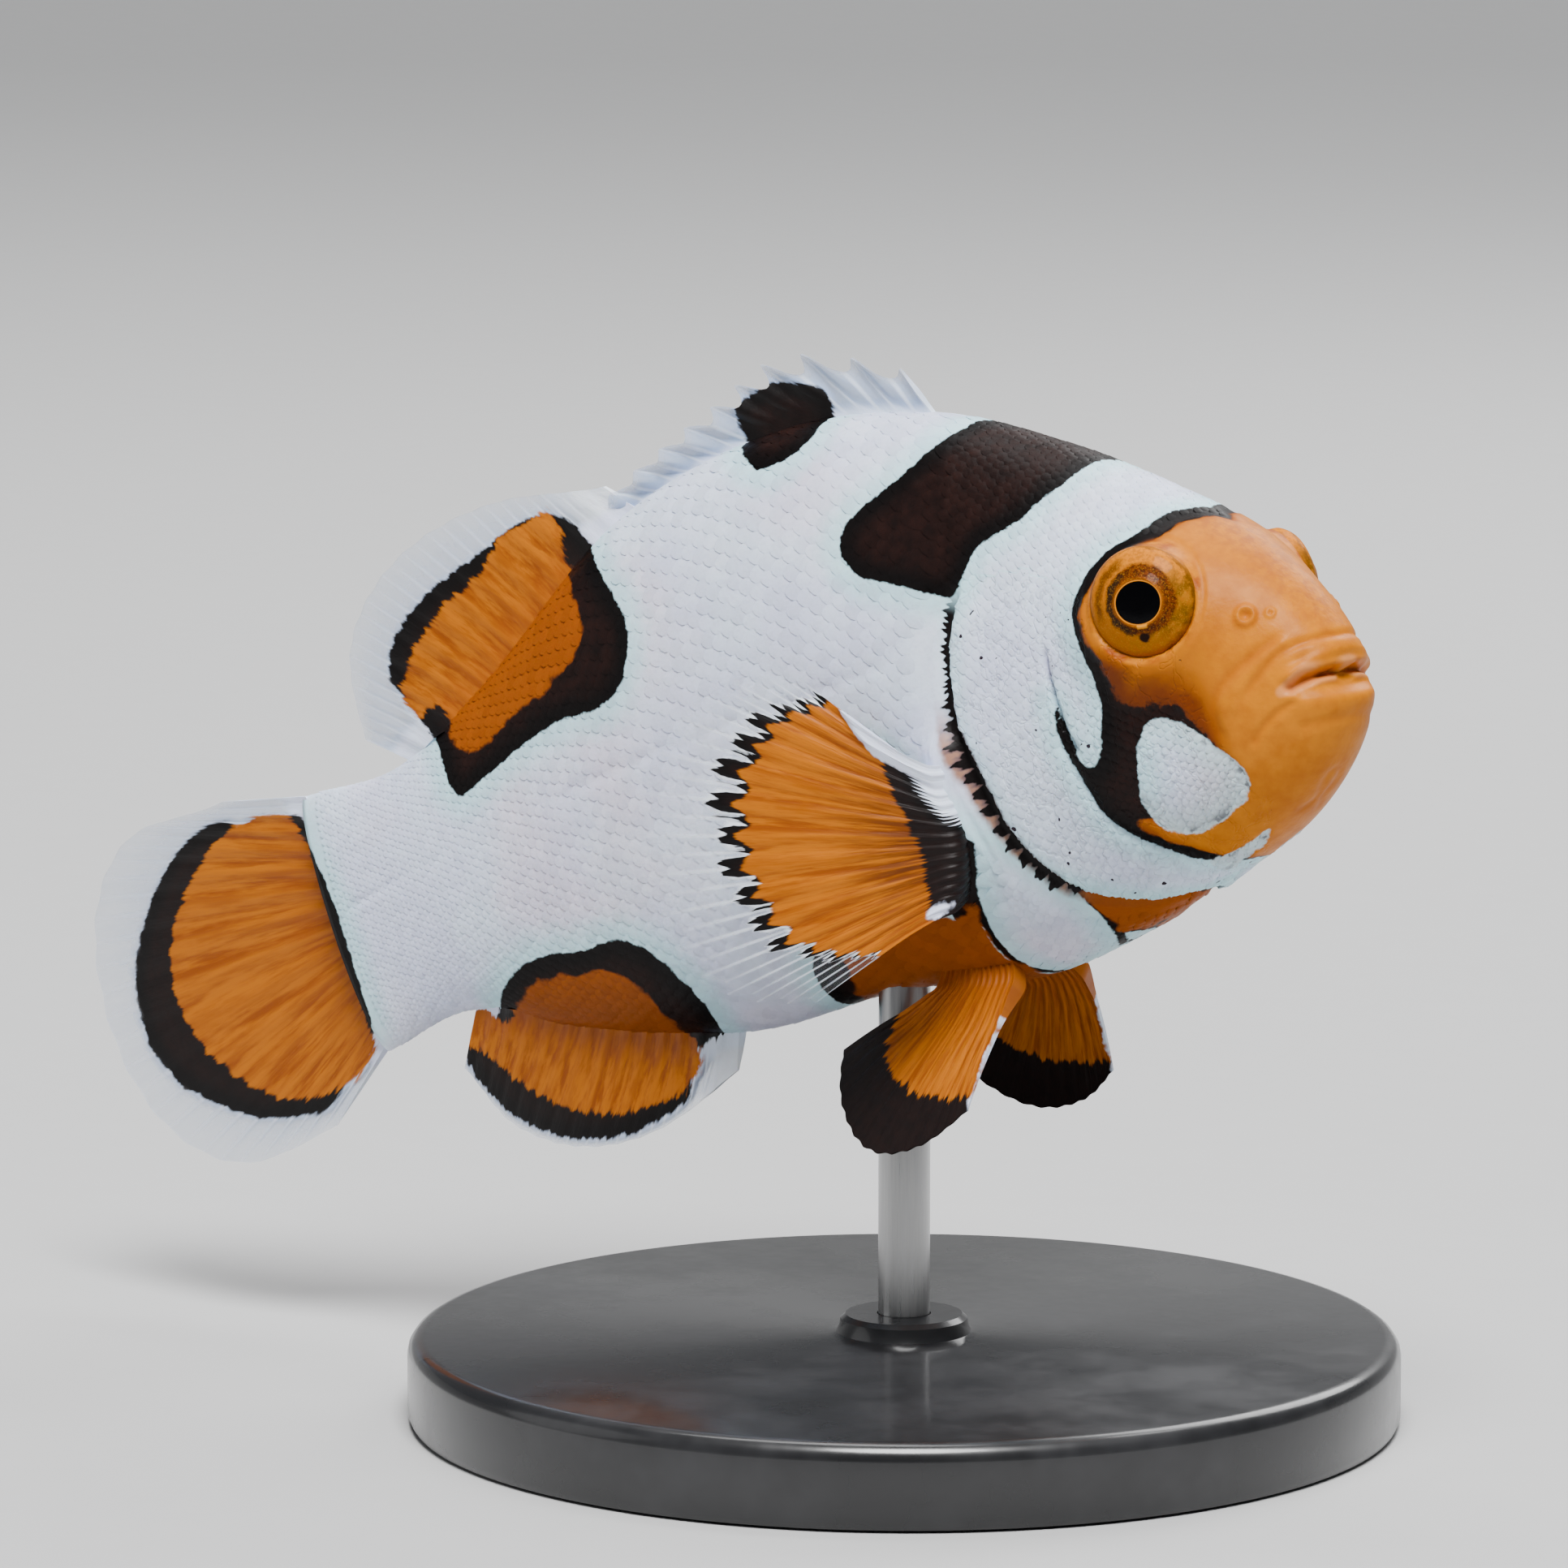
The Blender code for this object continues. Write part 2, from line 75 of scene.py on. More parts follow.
def hermite(start, end, leave, arrive, t):
    """Cubic from start to end over t = 0 to 1, with the slopes leave and arrive."""
    return ((2 * t ** 3 - 3 * t ** 2 + 1) * start + (t ** 3 - 2 * t ** 2 + t) * leave
            + (3 * t ** 2 - 2 * t ** 3) * end + (t ** 3 - t ** 2) * arrive)


def curve(values, s, knots=None):
    """Cubic Hermite curve through values at the knots, its slopes the differences of its neighbours."""
    values = np.asarray(values, float)
    knots = np.linspace(0.0, 1.0, len(values)) if knots is None else knots
    flat = values.reshape(len(values), -1)
    slope = np.stack([np.gradient(flat[:, k], knots) for k in range(flat.shape[1])], axis=1)
    s = np.clip(np.asarray(s, float), knots[0], knots[-1])
    i = np.clip(np.searchsorted(knots, s, side="right") - 1, 0, len(knots) - 2)
    step = (knots[i + 1] - knots[i])[..., None]
    t = (s - knots[i])[..., None] / step
    out = hermite(flat[i], flat[i + 1], step * slope[i], step * slope[i + 1], t)
    return out.reshape(s.shape + values.shape[1:])


def closed_curve(points, steps=5):
    """Closed curve through points: on each side, a Hermite cubic whose slopes are half of the
    step between the neighbours."""
    p = np.array(points, float)
    slope = (np.roll(p, -1, 0) - np.roll(p, 1, 0)) / 2
    t = (np.arange(steps) / steps)[None, :, None]
    ends = [each[:, None] for each in (p, np.roll(p, -1, 0), slope, np.roll(slope, -1, 0))]
    return hermite(*ends, t).reshape(-1, 2)


def smoothstep(low, high, x):
    """0 below low, 1 above high, 3t^2 - 2t^3 between; low may be above high."""
    t = np.clip((x - low) / (high - low), 0.0, 1.0)
    return t * t * (3 - 2 * t)


def bell(x, width):
    """exp(-(x / width)^2)."""
    return np.exp(-(x / width) ** 2)


def unit(vectors):
    """Vectors of the same directions and length 1."""
    return vectors / (np.linalg.norm(vectors, axis=-1, keepdims=True) + 1e-12)


def body_outline(u):
    """Back height, belly height and half width at u, smooth in the square root of u."""
    root, knots = np.sqrt(np.clip(u, 0.0, STANDARD_LENGTH)), np.sqrt(STATIONS)
    return tuple(curve(values, root, knots) for values in (BACK, BELLY, HALF_WIDTH))


def axis_directions(u):
    """Unit vectors forward, left and up: yaw bulges and pitch falls along the bend."""
    bend = np.clip((np.asarray(u, float) - BEND_START) / (STANDARD_LENGTH - BEND_START), 0.0, 1.0)
    yaw = np.radians(4 * SIDE_BEND * bend * (1 - bend) + TAIL_YAW * bend ** 2)
    pitch = -np.radians(DROOP * bend + TAIL_DROOP * bend ** 2)
    forward = np.stack([np.cos(yaw) * np.cos(pitch), np.sin(yaw) * np.cos(pitch), -np.sin(pitch)], -1)
    left = np.stack([-np.sin(yaw), np.cos(yaw), np.zeros_like(yaw)], -1)
    return forward, left, np.cross(forward, left)


# The axis summed up in steps of 0.05, from a little before the snout to beyond the tail fin.
AXIS_STEPS = np.linspace(-2.0, 90.0, 1841)
AXIS_POINTS = np.cumsum(-axis_directions(AXIS_STEPS)[0], axis=0) * (AXIS_STEPS[1] - AXIS_STEPS[0])
AXIS_POINTS -= AXIS_POINTS[np.argmin(np.abs(AXIS_STEPS))]


def bent(u, z, y):
    """The axis point at u, plus y to the left and z up."""
    u, z, y = np.broadcast_arrays(*(np.asarray(v, float) for v in (u, z, y)))
    centre = np.stack([np.interp(u, AXIS_STEPS, AXIS_POINTS[:, k]) for k in range(3)], -1)
    _, left, up = axis_directions(u)
    return centre + left * y[..., None] + up * z[..., None]


def pitched(points):
    """Points turned head-up about the Y axis."""
    p = math.radians(BODY_PITCH)
    return points @ np.array([[math.cos(p), 0, -math.sin(p)], [0, 1, 0], [math.sin(p), 0, math.cos(p)]]).T


STAND_SHIFT = np.array([0.0, 0.0, ROD_FOOT]) - pitched(bent(ROD_U, body_outline(ROD_U)[1], 0.0))


def to_world(u, z, y):
    """Body coordinates to the model's frame, still in millimetres."""
    return pitched(bent(u, z, y)) + STAND_SHIFT


def placed(body):
    """Points (-u, y, z) to the model's frame."""
    return to_world(-body[..., 0], body[..., 2], body[..., 1])


def widest_level(back, belly):
    """Height at which a section is widest."""
    return AXIS_LEVEL * back + (1 - AXIS_LEVEL) * belly


def section(u, angle):
    """Height and side distance on the section at u: half ellipses above and below the widest
    level, with a flat-topped swelling round the eye."""
    back, belly, width = body_outline(u)
    level = widest_level(back, belly)
    rise, side = np.sin(angle), np.cos(angle)
    z = np.where(rise > 0, level + (back - level) * rise, level + (level - belly) * rise)
    y = width * np.sign(side) * np.abs(side) ** SIDE_ROUND
    swell = ORBIT_SWELL * np.exp(-(np.hypot(u - EYE_U, z - EYE_Z) / ORBIT_RADIUS) ** 4)
    return z, y + np.sign(side) * swell * np.abs(side)


def bilinear(table, row, column, wrap=False):
    """Table values between grid points, weighted by the shares of the four neighbours."""
    rows, columns = table.shape[:2]
    row = np.clip(row, 0, rows - 1.001)
    column = np.mod(column, columns) if wrap else np.clip(column, 0, columns - 1.001)
    i, j = np.floor(row).astype(int), np.floor(column).astype(int)
    a, b = row - i, column - j
    j, k = j % columns, (j + 1) % columns
    if table.ndim == 3:
        a, b = a[..., None], b[..., None]
    return ((1 - a) * ((1 - b) * table[i, j] + b * table[i, k])
            + a * ((1 - b) * table[i + 1, j] + b * table[i + 1, k]))


# Arc table: a row every quarter millimetre of u, a column every degree from belly to back.
ARC_ROWS, ARC_DEGREES = 240, 180
ARC_STATIONS = np.linspace(0.0, STANDARD_LENGTH, ARC_ROWS + 1)


@functools.cache
def arc_table():
    """Length along each section from its widest level, from the belly up to the back."""
    angle = np.radians(np.linspace(-90.0, 90.0, ARC_DEGREES + 1))
    z, y = section(ARC_STATIONS[:, None], angle[None, :])
    run = np.hypot(np.diff(z, axis=1), np.diff(y, axis=1))
    table = np.concatenate([np.zeros((len(z), 1)), np.cumsum(run, axis=1)], axis=1)
    middle = ARC_DEGREES // 2
    return table - table[:, middle:middle + 1]


def arc_row(u):
    """Row of the arc table at u."""
    return np.clip(u, 0.0, STANDARD_LENGTH) / STANDARD_LENGTH * ARC_ROWS


def girth(u):
    """Length round the whole section at u."""
    table = arc_table()
    return 2 * np.interp(u, ARC_STATIONS, table[:, -1] - table[:, 0])


def flank_angle(u, z):
    """Angle round the section at which the flank has height z."""
    back, belly, _ = body_outline(u)
    level = widest_level(back, belly)
    rise = np.where(z > level, (z - level) / (back - level), (z - level) / (level - belly))
    return np.arcsin(np.clip(rise, -1.0, 1.0))


def chart(u, z):
    """Height unrolled along the skin; beyond the back or belly it goes on up or down the fins."""
    u, z = np.broadcast_arrays(np.asarray(u, float), np.asarray(z, float))
    back, belly, _ = body_outline(u)
    arc = bilinear(arc_table(), arc_row(u), np.degrees(flank_angle(u, z)) + 90)
    return arc + np.maximum(z - back, 0.0) - np.maximum(belly - z, 0.0)


def charted(line):
    """A line's (u, z) points with their heights unrolled."""
    return np.stack([line[:, 0], chart(line[:, 0], line[:, 1])], -1)


def flank_points(line):
    """Points (-u, y, z) on the left flank at (u, z) pairs."""
    u, z = np.array(line, float).T
    _, y = section(u, flank_angle(u, z))
    return np.stack([-u, y, z], -1)


# ---------------------------------------------------------------------------
# Outlines of the markings, as (u, z) pairs on the flank and fins
# ---------------------------------------------------------------------------

MASK = [(4.6, 8.0), (5.6, 7.5), (6.6, 7.4), (7.5, 7.35), (8.2, 6.75), (9.0, 6.4), (9.8, 5.8), (10.4, 5.1),
        (10.9, 4.3), (11.0, 3.2), (10.6, 2.0), (10.25, 1.0), (10.1, 0.0), (10.2, -1.2), (10.6, -2.6),
        (11.1, -3.25), (11.7, -3.1), (12.05, -2.3), (12.35, -1.2), (12.55, -0.4), (12.75, -0.6),
        (12.75, -1.8), (12.4, -3.0), (11.9, -4.3), (11.6, -5.4), (11.0, -6.2), (10.3, -6.9), (9.5, -7.5),
        (8.5, -8.15), (7.8, -8.45), (6.9, -8.7), (5.6, -9.4), (3.4, -9.6), (-6.0, -9.0), (-6.0, 9.5),
        (3.0, 9.5)]
FACE = [(4.0, 12.0), (13.0, 12.0), (13.0, 4.0), (11.6, 2.2), (10.0, 1.6), (9.5, 0.6), (8.9, -0.6),
        (8.1, -1.1), (7.1, -1.0), (6.3, -1.4), (5.7, -2.3), (5.2, -3.0), (5.6, -4.6), (6.6, -6.0),
        (7.9, -6.5), (9.2, -6.1), (9.9, -6.1), (9.3, -6.9), (8.3, -7.6), (7.5, -8.3), (6.6, -9.0),
        (5.6, -9.8), (3.0, -10.5), (-6.0, -9.0), (-6.0, 9.5)]
CHEEK_PATCH = [(8.3, -2.1), (7.6, -1.65), (6.8, -1.8), (5.9, -2.4), (5.2, -3.2), (4.5, -4.1), (4.35, -5.0),
               (4.9, -5.8), (6.0, -6.4), (7.4, -6.9), (8.5, -6.75), (9.2, -6.0), (9.35, -5.1), (9.1, -4.1),
               (8.8, -3.0)]
CHIN_STRIP = [(5.2, -7.3), (6.2, -7.7), (7.2, -8.05), (8.3, -8.25), (8.4, -8.8), (7.2, -8.35), (6.2, -7.95)]
SADDLE = [(12.2, 10.6), (12.6, 9.8), (13.4, 9.1), (14.4, 8.3), (15.6, 7.85), (16.6, 7.5), (17.2, 6.8),
          (17.7, 6.0), (18.6, 5.5), (20.0, 5.9), (21.6, 6.5), (23.4, 7.15), (24.4, 8.0), (24.7, 8.9),
          (24.0, 10.0), (22.2, 10.9), (20.7, 11.8), (19.5, 12.7), (18.6, 13.6), (17.6, 16.0), (14.5, 17.0),
          (11.4, 13.0)]
CHEST_PATCH = [(19.0, -5.2), (19.6, -6.3), (20.3, -7.7), (20.75, -9.2), (20.8, -10.6), (20.4, -11.6),
               (19.3, -12.3), (17.4, -11.7), (15.6, -11.0), (14.9, -10.2), (15.1, -9.2), (15.8, -8.2),
               (17.0, -6.8)]
PECTORAL_BAR = [(24.2, -0.6), (22.8, -1.9), (21.2, -3.5), (19.7, -5.2), (19.2, -6.3), (20.2, -8.4),
                (21.3, -9.3), (22.6, -9.0), (22.6, -6.4), (23.4, -4.0), (24.6, -2.0)]
THROAT = [(15.9, -8.5), (14.8, -8.75), (13.4, -9.3), (12.0, -9.65), (10.6, -9.65), (9.4, -9.55),
          (9.2, -9.9), (11.0, -10.15), (12.4, -10.4), (14.0, -10.8), (15.1, -10.7), (15.8, -10.0)]
BELLY_ORANGE = [(30.6, -9.6), (28.6, -9.6), (26.6, -8.9), (24.6, -8.5), (22.4, -8.6), (20.9, -8.3),
                (19.8, -10.3), (19.3, -11.6), (18.0, -12.4), (16.4, -14.2), (30.4, -14.6)]
BELLY_SPOT = [(32.5, -10.1), (32.0, -9.2), (30.9, -8.4), (29.5, -8.4), (28.6, -9.1), (28.9, -10.0),
              (29.4, -11.0), (29.6, -13.0), (31.6, -13.2), (32.4, -11.5)]
DORSAL_DARK = [(42.0, 14.4), (41.0, 13.6), (39.7, 11.9), (38.6, 10.1), (37.7, 8.3), (37.8, 6.7),
               (38.6, 5.3), (40.2, 4.6), (42.6, 4.7), (45.2, 4.2), (47.6, 3.5), (49.6, 3.0), (50.4, 3.9),
               (50.6, 5.4), (51.6, 7.0), (52.5, 8.7), (52.7, 10.2), (51.6, 11.7), (49.2, 13.0),
               (46.6, 13.7), (44.0, 14.5)]
DORSAL_ORANGE = [(42.4, 14.6), (41.7, 13.7), (41.6, 12.0), (40.6, 9.8), (40.5, 8.1), (41.6, 7.2),
                 (43.6, 6.3), (46.0, 5.5), (48.3, 4.8), (49.5, 5.1), (49.9, 6.2), (50.4, 7.5), (51.2, 7.8),
                 (51.9, 7.4), (52.5, 8.6), (51.8, 9.9), (50.6, 10.9), (48.8, 12.0), (46.4, 13.0),
                 (45.0, 14.2), (43.8, 14.3)]
ANAL_DARK = [(52.6, -7.8), (51.5, -6.7), (49.8, -5.8), (47.6, -5.5), (45.2, -5.9), (42.8, -5.9),
             (41.1, -6.9), (39.9, -8.5), (39.3, -10.2), (39.6, -11.3), (40.4, -11.9), (41.2, -12.15),
             (42.0, -12.6), (42.9, -13.8), (44.4, -14.4), (46.9, -14.65), (49.4, -14.3), (51.6, -13.5),
             (53.7, -12.1), (54.8, -10.5), (55.4, -8.9), (55.0, -7.9), (53.9, -8.0), (53.2, -7.9)]
ANAL_ORANGE = [(52.0, -8.1), (51.2, -7.6), (50.2, -7.1), (48.4, -6.7), (46.0, -6.9), (43.8, -7.4),
               (42.4, -8.6), (41.9, -9.9), (41.7, -11.0), (41.3, -11.9), (41.6, -12.6), (42.2, -13.05),
               (43.1, -13.5), (44.6, -13.7), (47.1, -13.6), (49.7, -12.8), (51.7, -11.5), (53.1, -10.0),
               (53.9, -8.9), (55.0, -8.0), (54.8, -6.8), (53.5, -6.85), (52.8, -7.2), (52.5, -7.75)]
TAIL_DARK = [(60.5, 5.5), (59.85, 3.3), (59.35, 0.9), (59.35, -1.3), (59.5, -3.4), (59.8, -5.3),
             (60.9, -5.9), (62.4, -6.6), (63.6, -7.6), (64.9, -8.1), (67.0, -7.8), (69.4, -7.0),
             (71.8, -5.5), (73.7, -3.8), (74.8, -1.8), (75.0, 0.1), (74.7, 2.0), (73.5, 3.8), (71.8, 5.4),
             (70.0, 6.5), (67.5, 7.2), (65.6, 7.0), (64.2, 6.1), (62.0, 5.8)]
TAIL_ORANGE = [(62.2, 6.15), (61.1, 5.5), (60.5, 3.3), (60.2, 0.9), (60.3, -1.2), (60.5, -3.3),
               (60.6, -5.1), (60.5, -6.3), (61.6, -6.95), (62.8, -7.4), (64.3, -7.4), (66.4, -7.1),
               (68.5, -6.0), (70.2, -4.4), (71.5, -2.6), (72.2, -0.6), (72.2, 1.2), (71.5, 2.9),
               (70.2, 4.3), (68.2, 5.5), (66.0, 6.4), (64.0, 6.55)]
SPINE_SPOT = [(29.5, 13.3), (28.2, 13.4), (27.1, 13.9), (26.6, 14.8), (26.8, 16.0), (27.8, 16.8),
              (29.4, 17.3), (31.0, 17.0), (31.7, 16.2), (31.2, 14.9), (30.4, 14.0)]
GILL_EDGE = [(17.4, 6.2), (17.8, 5.3), (18.2, 4.4), (18.55, 3.2), (18.7, 1.6), (18.75, 0.0), (18.4, -1.2),
             (17.95, -2.5), (17.55, -3.9), (17.2, -5.1), (16.6, -6.3), (15.8, -7.4), (14.8, -8.4),
             (13.4, -9.1), (12.0, -9.5), (10.6, -9.5), (9.2, -9.35), (7.4, -9.3)]
FIN_HINGE = [(20.0, -1.6), (20.2, -3.4), (20.5, -5.4), (21.4, -7.4)]

# The lateral line, and a line ahead of the gill cover that closes its edge to a loop.
LATERAL_LINE = [(19.3, 4.8), (23, 3.0), (28, 2.4), (40, 1.6), (58, 0.2)]
COVER_FRONT = [(4.0, -6.0), (6.0, 2.0), (14.0, 6.0)]


def signed_distance(x, y, loop, reach=3.0):
    """Distance of each (x, y) from a closed loop, positive inside and held within reach."""
    flat = np.stack([np.ravel(x), np.ravel(y)], -1)
    out = np.full(len(flat), -reach)
    near = ((flat > loop.min(0) - reach) & (flat < loop.max(0) + reach)).all(-1)
    p = flat[near]
    best, inside = np.full(len(p), np.inf), np.zeros(len(p), bool)
    for a, b in zip(loop, np.roll(loop, -1, 0)):
        side = b - a
        share = np.clip(((p - a) @ side) / (side @ side + 1e-12), 0.0, 1.0)
        best = np.minimum(best, ((p - a - share[:, None] * side) ** 2).sum(-1))
        across = (a[1] > p[:, 1]) != (b[1] > p[:, 1])
        inside ^= across & (p[:, 0] < a[0] + (p[:, 1] - a[1]) * side[0] / (side[1] if side[1] else 1e-9))
    out[near] = np.where(inside, 1.0, -1.0) * np.sqrt(best)
    return np.clip(out, -reach, reach).reshape(np.shape(x))


def line_distance(points, line, reach=3.0):
    """Distance of points from an open line of any dimension, and the length along the line at the
    nearest place on it."""
    shape = points.shape[:-1]
    flat = points.reshape(-1, points.shape[-1])
    best, along = np.full(len(flat), reach), np.zeros(len(flat))
    near = ((flat > line.min(0) - reach) & (flat < line.max(0) + reach)).all(-1)
    p, d, s, start = flat[near], np.full(near.sum(), np.inf), np.zeros(near.sum()), 0.0
    for a, b in zip(line[:-1], line[1:]):
        side = b - a
        length = math.sqrt(side @ side) + 1e-9
        share = np.clip(((p - a) @ side) / length ** 2, 0.0, 1.0)
        here = np.sqrt(((p - a - share[:, None] * side) ** 2).sum(-1))
        closer = here < d
        d, s = np.where(closer, here, d), np.where(closer, start + share * length, s)
        start += length
    best[near], along[near] = np.minimum(d, reach), s
    return best.reshape(shape), along.reshape(shape)


def flank_distance(points, line):
    """Distance of points (-u, y, z) from a line of (u, z) pairs on the flank."""
    return line_distance(points, flank_points(line))[0]


def marking_fields(u, t):
    """Signed distances in millimetres for dark, orange and white-over-dark skin at (u, chart height)."""
    def field(outline):
        return signed_distance(u, t, charted(closed_curve(outline)))

    mask, chest, throat = field(MASK), field(CHEST_PATCH), field(THROAT)
    # The chest patch has a dark rim only below a line that slants down to the front.
    rim = 0.42 * smoothstep(0.0, 0.9, -6.4 - 0.52 * (20.3 - u) - t)
    rimmed = chest + rim - 0.6 * (rim < 0.05)
    dark = np.max([mask, rimmed, throat + 0.12]
                  + [field(outline) for outline in (SADDLE, PECTORAL_BAR, BELLY_SPOT, DORSAL_DARK, ANAL_DARK,
                                                    TAIL_DARK, SPINE_SPOT)], axis=0)
    # The black line round the face: widest over the brow, and none under the cheek.
    line = 0.62 + 0.48 * smoothstep(5.3, 7.2, t) + 0.25 * smoothstep(3.9, 2.2, t)
    line = line * (1 - 1.5 * smoothstep(9.6, 8.2, u) * (t < 0))
    face = np.minimum(mask - line, field(FACE))
    under = np.minimum(np.maximum(throat, field(BELLY_ORANGE)), 0.12 - chest - rim)
    orange = np.max([face, under, field(DORSAL_ORANGE), field(ANAL_ORANGE), field(TAIL_ORANGE)], axis=0)
    white = np.max([field(CHEEK_PATCH), chest, field(CHIN_STRIP)], axis=0)
    return {"dark": dark, "orange": orange, "white": white, "face": face, "mask": mask}


# ---------------------------------------------------------------------------
# Mesh and piece helpers
# ---------------------------------------------------------------------------

def grid_quads(rows, columns, wrap=False):
    """Four corners of each cell of a grid of rows x columns points; wrap joins the last column to
    the first."""
    grid = np.arange(rows * columns).reshape(rows, columns)
    if wrap:
        grid = np.concatenate([grid, grid[:, :1]], axis=1)
    return np.stack([grid[:-1, :-1], grid[1:, :-1], grid[1:, 1:], grid[:-1, 1:]], -1).reshape(-1, 4)


def piece(name, points, quads, finish, triangles=None, attributes=None, bake_map=None, sharp=None):
    """A mesh object at the origin from points in millimetres, its faces turned outwards."""
    def facing(faces):
        corners = points[faces]
        return (np.cross(corners[:, 1] - corners[:, 0], corners[:, 2] - corners[:, 0])
                * (corners[:, 0] - points.mean(0))).sum(-1)

    faces = [quads[:, ::-1] if facing(quads).sum() < 0 else quads]
    if triangles is not None:
        faces.append(np.where(facing(triangles)[:, None] < 0, triangles[:, ::-1], triangles))
    mesh = bpy.data.meshes.new(name)
    mesh.vertices.add(len(points))
    mesh.vertices.foreach_set("co", (points * MM).astype(np.float32).ravel())
    loops = np.concatenate([f.ravel() for f in faces]).astype(np.int32)
    sizes = np.concatenate([np.full(len(f), f.shape[1]) for f in faces])
    mesh.loops.add(len(loops))
    mesh.loops.foreach_set("vertex_index", loops)
    mesh.polygons.add(len(sizes))
    mesh.polygons.foreach_set("loop_start", (np.cumsum(sizes) - sizes).astype(np.int32))
    mesh.update(calc_edges=True)
    mesh.shade_smooth()
    if sharp:
        mesh.set_sharp_from_angle(angle=math.radians(sharp))
    for label, values in (attributes or {}).items():
        mesh.attributes.new(label, "FLOAT", "POINT").data.foreach_set(
            "value", np.ascontiguousarray(values, np.float32).ravel())
    if bake_map is not None:
        layer = mesh.uv_layers.new(name="OFBake")
        layer.data.foreach_set("uv", bake_map[loops].astype(np.float32).ravel())
    mesh.materials.append(finish)
    made = bpy.data.objects.new(name, mesh)
    bpy.context.collection.objects.link(made)
    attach(made, "root")
    return made


def ringed_piece(name, rings, ends, finish, attributes=None, sharp=None):
    """A piece from a grid of closed rings, its first and last ring fanned to the two end points.
    Each attribute is a grid of values and the pair of values at the ends."""
    rows, columns = rings.shape[:2]
    first, last = np.arange(columns), np.arange(columns) + (rows - 1) * columns
    fans = np.concatenate([np.stack([edge, np.roll(edge, -1), np.full(columns, rows * columns + k)], -1)
                           for k, edge in enumerate((first, last))])
    values = {label: np.append(np.ravel(field), at_ends)
              for label, (field, at_ends) in (attributes or {}).items()}
    points = np.concatenate([rings.reshape(-1, 3), ends])
    return piece(name, points, grid_quads(rows, columns, wrap=True), finish, fans, values, sharp=sharp)


def grid_normals(sheet):
    """Unit normals of a grid from the cross product of its differences."""
    return unit(np.cross(np.gradient(sheet, axis=0), np.gradient(sheet, axis=1)))


def outward_normals(sheet, outward):
    """Unit normals of a grid on the side of outward."""
    normal = grid_normals(sheet)
    return normal * np.where((normal * outward).sum(-1, keepdims=True) < 0, -1.0, 1.0)


# ---------------------------------------------------------------------------
# Skin: the body's surface a little inside the solids, with the relief of the head
# ---------------------------------------------------------------------------

HALF_RING = 121             # points from belly to back on one side
HEAD_RINGS, BODY_RINGS, HEAD_END = 231, 168, 19.6

# Folds of the face: line on the flank, height (negative for a groove) and width.
FACE_FOLDS = [
    # The closed mouth, the upper lip over it and the lower lip under it.
    ([(0.0, -0.85), (0.5, -0.98), (1.2, -1.2), (1.95, -1.45)], -0.36, 0.24),
    ([(0.0, -0.2), (0.6, -0.28), (1.2, -0.62), (2.0, -1.15)], 0.2, 0.3),
    ([(0.0, -1.6), (0.6, -1.75), (1.3, -1.85), (2.2, -1.9)], 0.1, 0.45),
    # Grooves and a ridge that run from over the lip down behind the mouth's corner.
    ([(0.2, 0.75), (0.7, 0.66), (1.2, 0.54), (1.94, 0.21), (2.53, -0.43), (3.2, -1.14), (3.57, -2.01)],
     -0.11, 0.2),
    ([(1.6, 1.2), (2.23, 0.74), (3.2, 0.13), (4.2, -0.6), (4.75, -1.5), (4.8, -2.6), (4.36, -3.5)],
     -0.13, 0.26),
    ([(1.4, 0.95), (2.2, 0.45), (3.0, -0.4), (3.8, -1.3), (4.1, -2.3)], 0.08, 0.35),
    # Creases of the jaw and chin.
    ([(1.2, -1.85), (2.2, -2.3), (3.2, -3.1), (3.6, -3.8)], -0.1, 0.2),
    ([(1.6, -4.8), (1.94, -5.15), (3.2, -6.26), (4.36, -6.98)], -0.06, 0.25),
    ([(0.2, -2.9), (0.5, -3.0), (1.2, -3.05), (2.0, -3.3)], -0.06, 0.3),
    # Edges of the plates before the gill cover.
    ([(12.9, 2.6), (12.85, 1.4), (12.7, 0.4), (12.5, -0.5), (12.3, -1.5), (11.7, -2.9)], -0.3, 0.13),
    ([(12.7, -1.0), (12.4, -2.9), (11.8, -4.4), (11.3, -5.9), (10.0, -7.1), (8.4, -8.0)], -0.16, 0.22),
]
# Lines of the lips' pale pink rims: partly the lips' own colour and partly a painted highlight along them.
LIP_EDGES = ([(0.0, -0.45), (0.8, -0.57), (1.43, -1.03), (1.94, -1.41)],
             [(0.0, -1.1), (0.5, -1.22), (1.2, -1.42), (1.94, -1.46)])
BROW_LINE = [(1.2, 2.6), (3.4, 5.0), (5.6, 6.6)]
NOSTRILS = [(3.15, 2.15, 0.36), (2.3, 2.1, 0.17)]       # u, z and radius of the rim


def skin_stations():
    """Places of the rings: close at the snout and over the head, wider behind the gill opening."""
    head = HEAD_END * np.linspace(0.0, 1.0, HEAD_RINGS) ** 1.6
    return np.concatenate([head, np.linspace(HEAD_END, STANDARD_LENGTH, BODY_RINGS)[1:]])


def ball_height(r):
    """Height of the eyeball's front over its middle plane: a superellipse, flatter than a ball."""
    share = np.clip(r / EYE_RADIUS, 0, 1)
    return EYE_DEPTH * np.clip(1 - share ** EYE_FLATNESS, 0.0, 1.0) ** (1 / EYE_FLATNESS)


def eye_axis(side=1.0):
    """Centre and forward-turned axis of an eye in (-u, y, z)."""
    turn = math.radians(EYE_FORWARD)
    return (np.array([-EYE_U, side * EYE_Y, EYE_Z]),
            np.array([math.sin(turn), side * math.cos(turn), 0.0]))


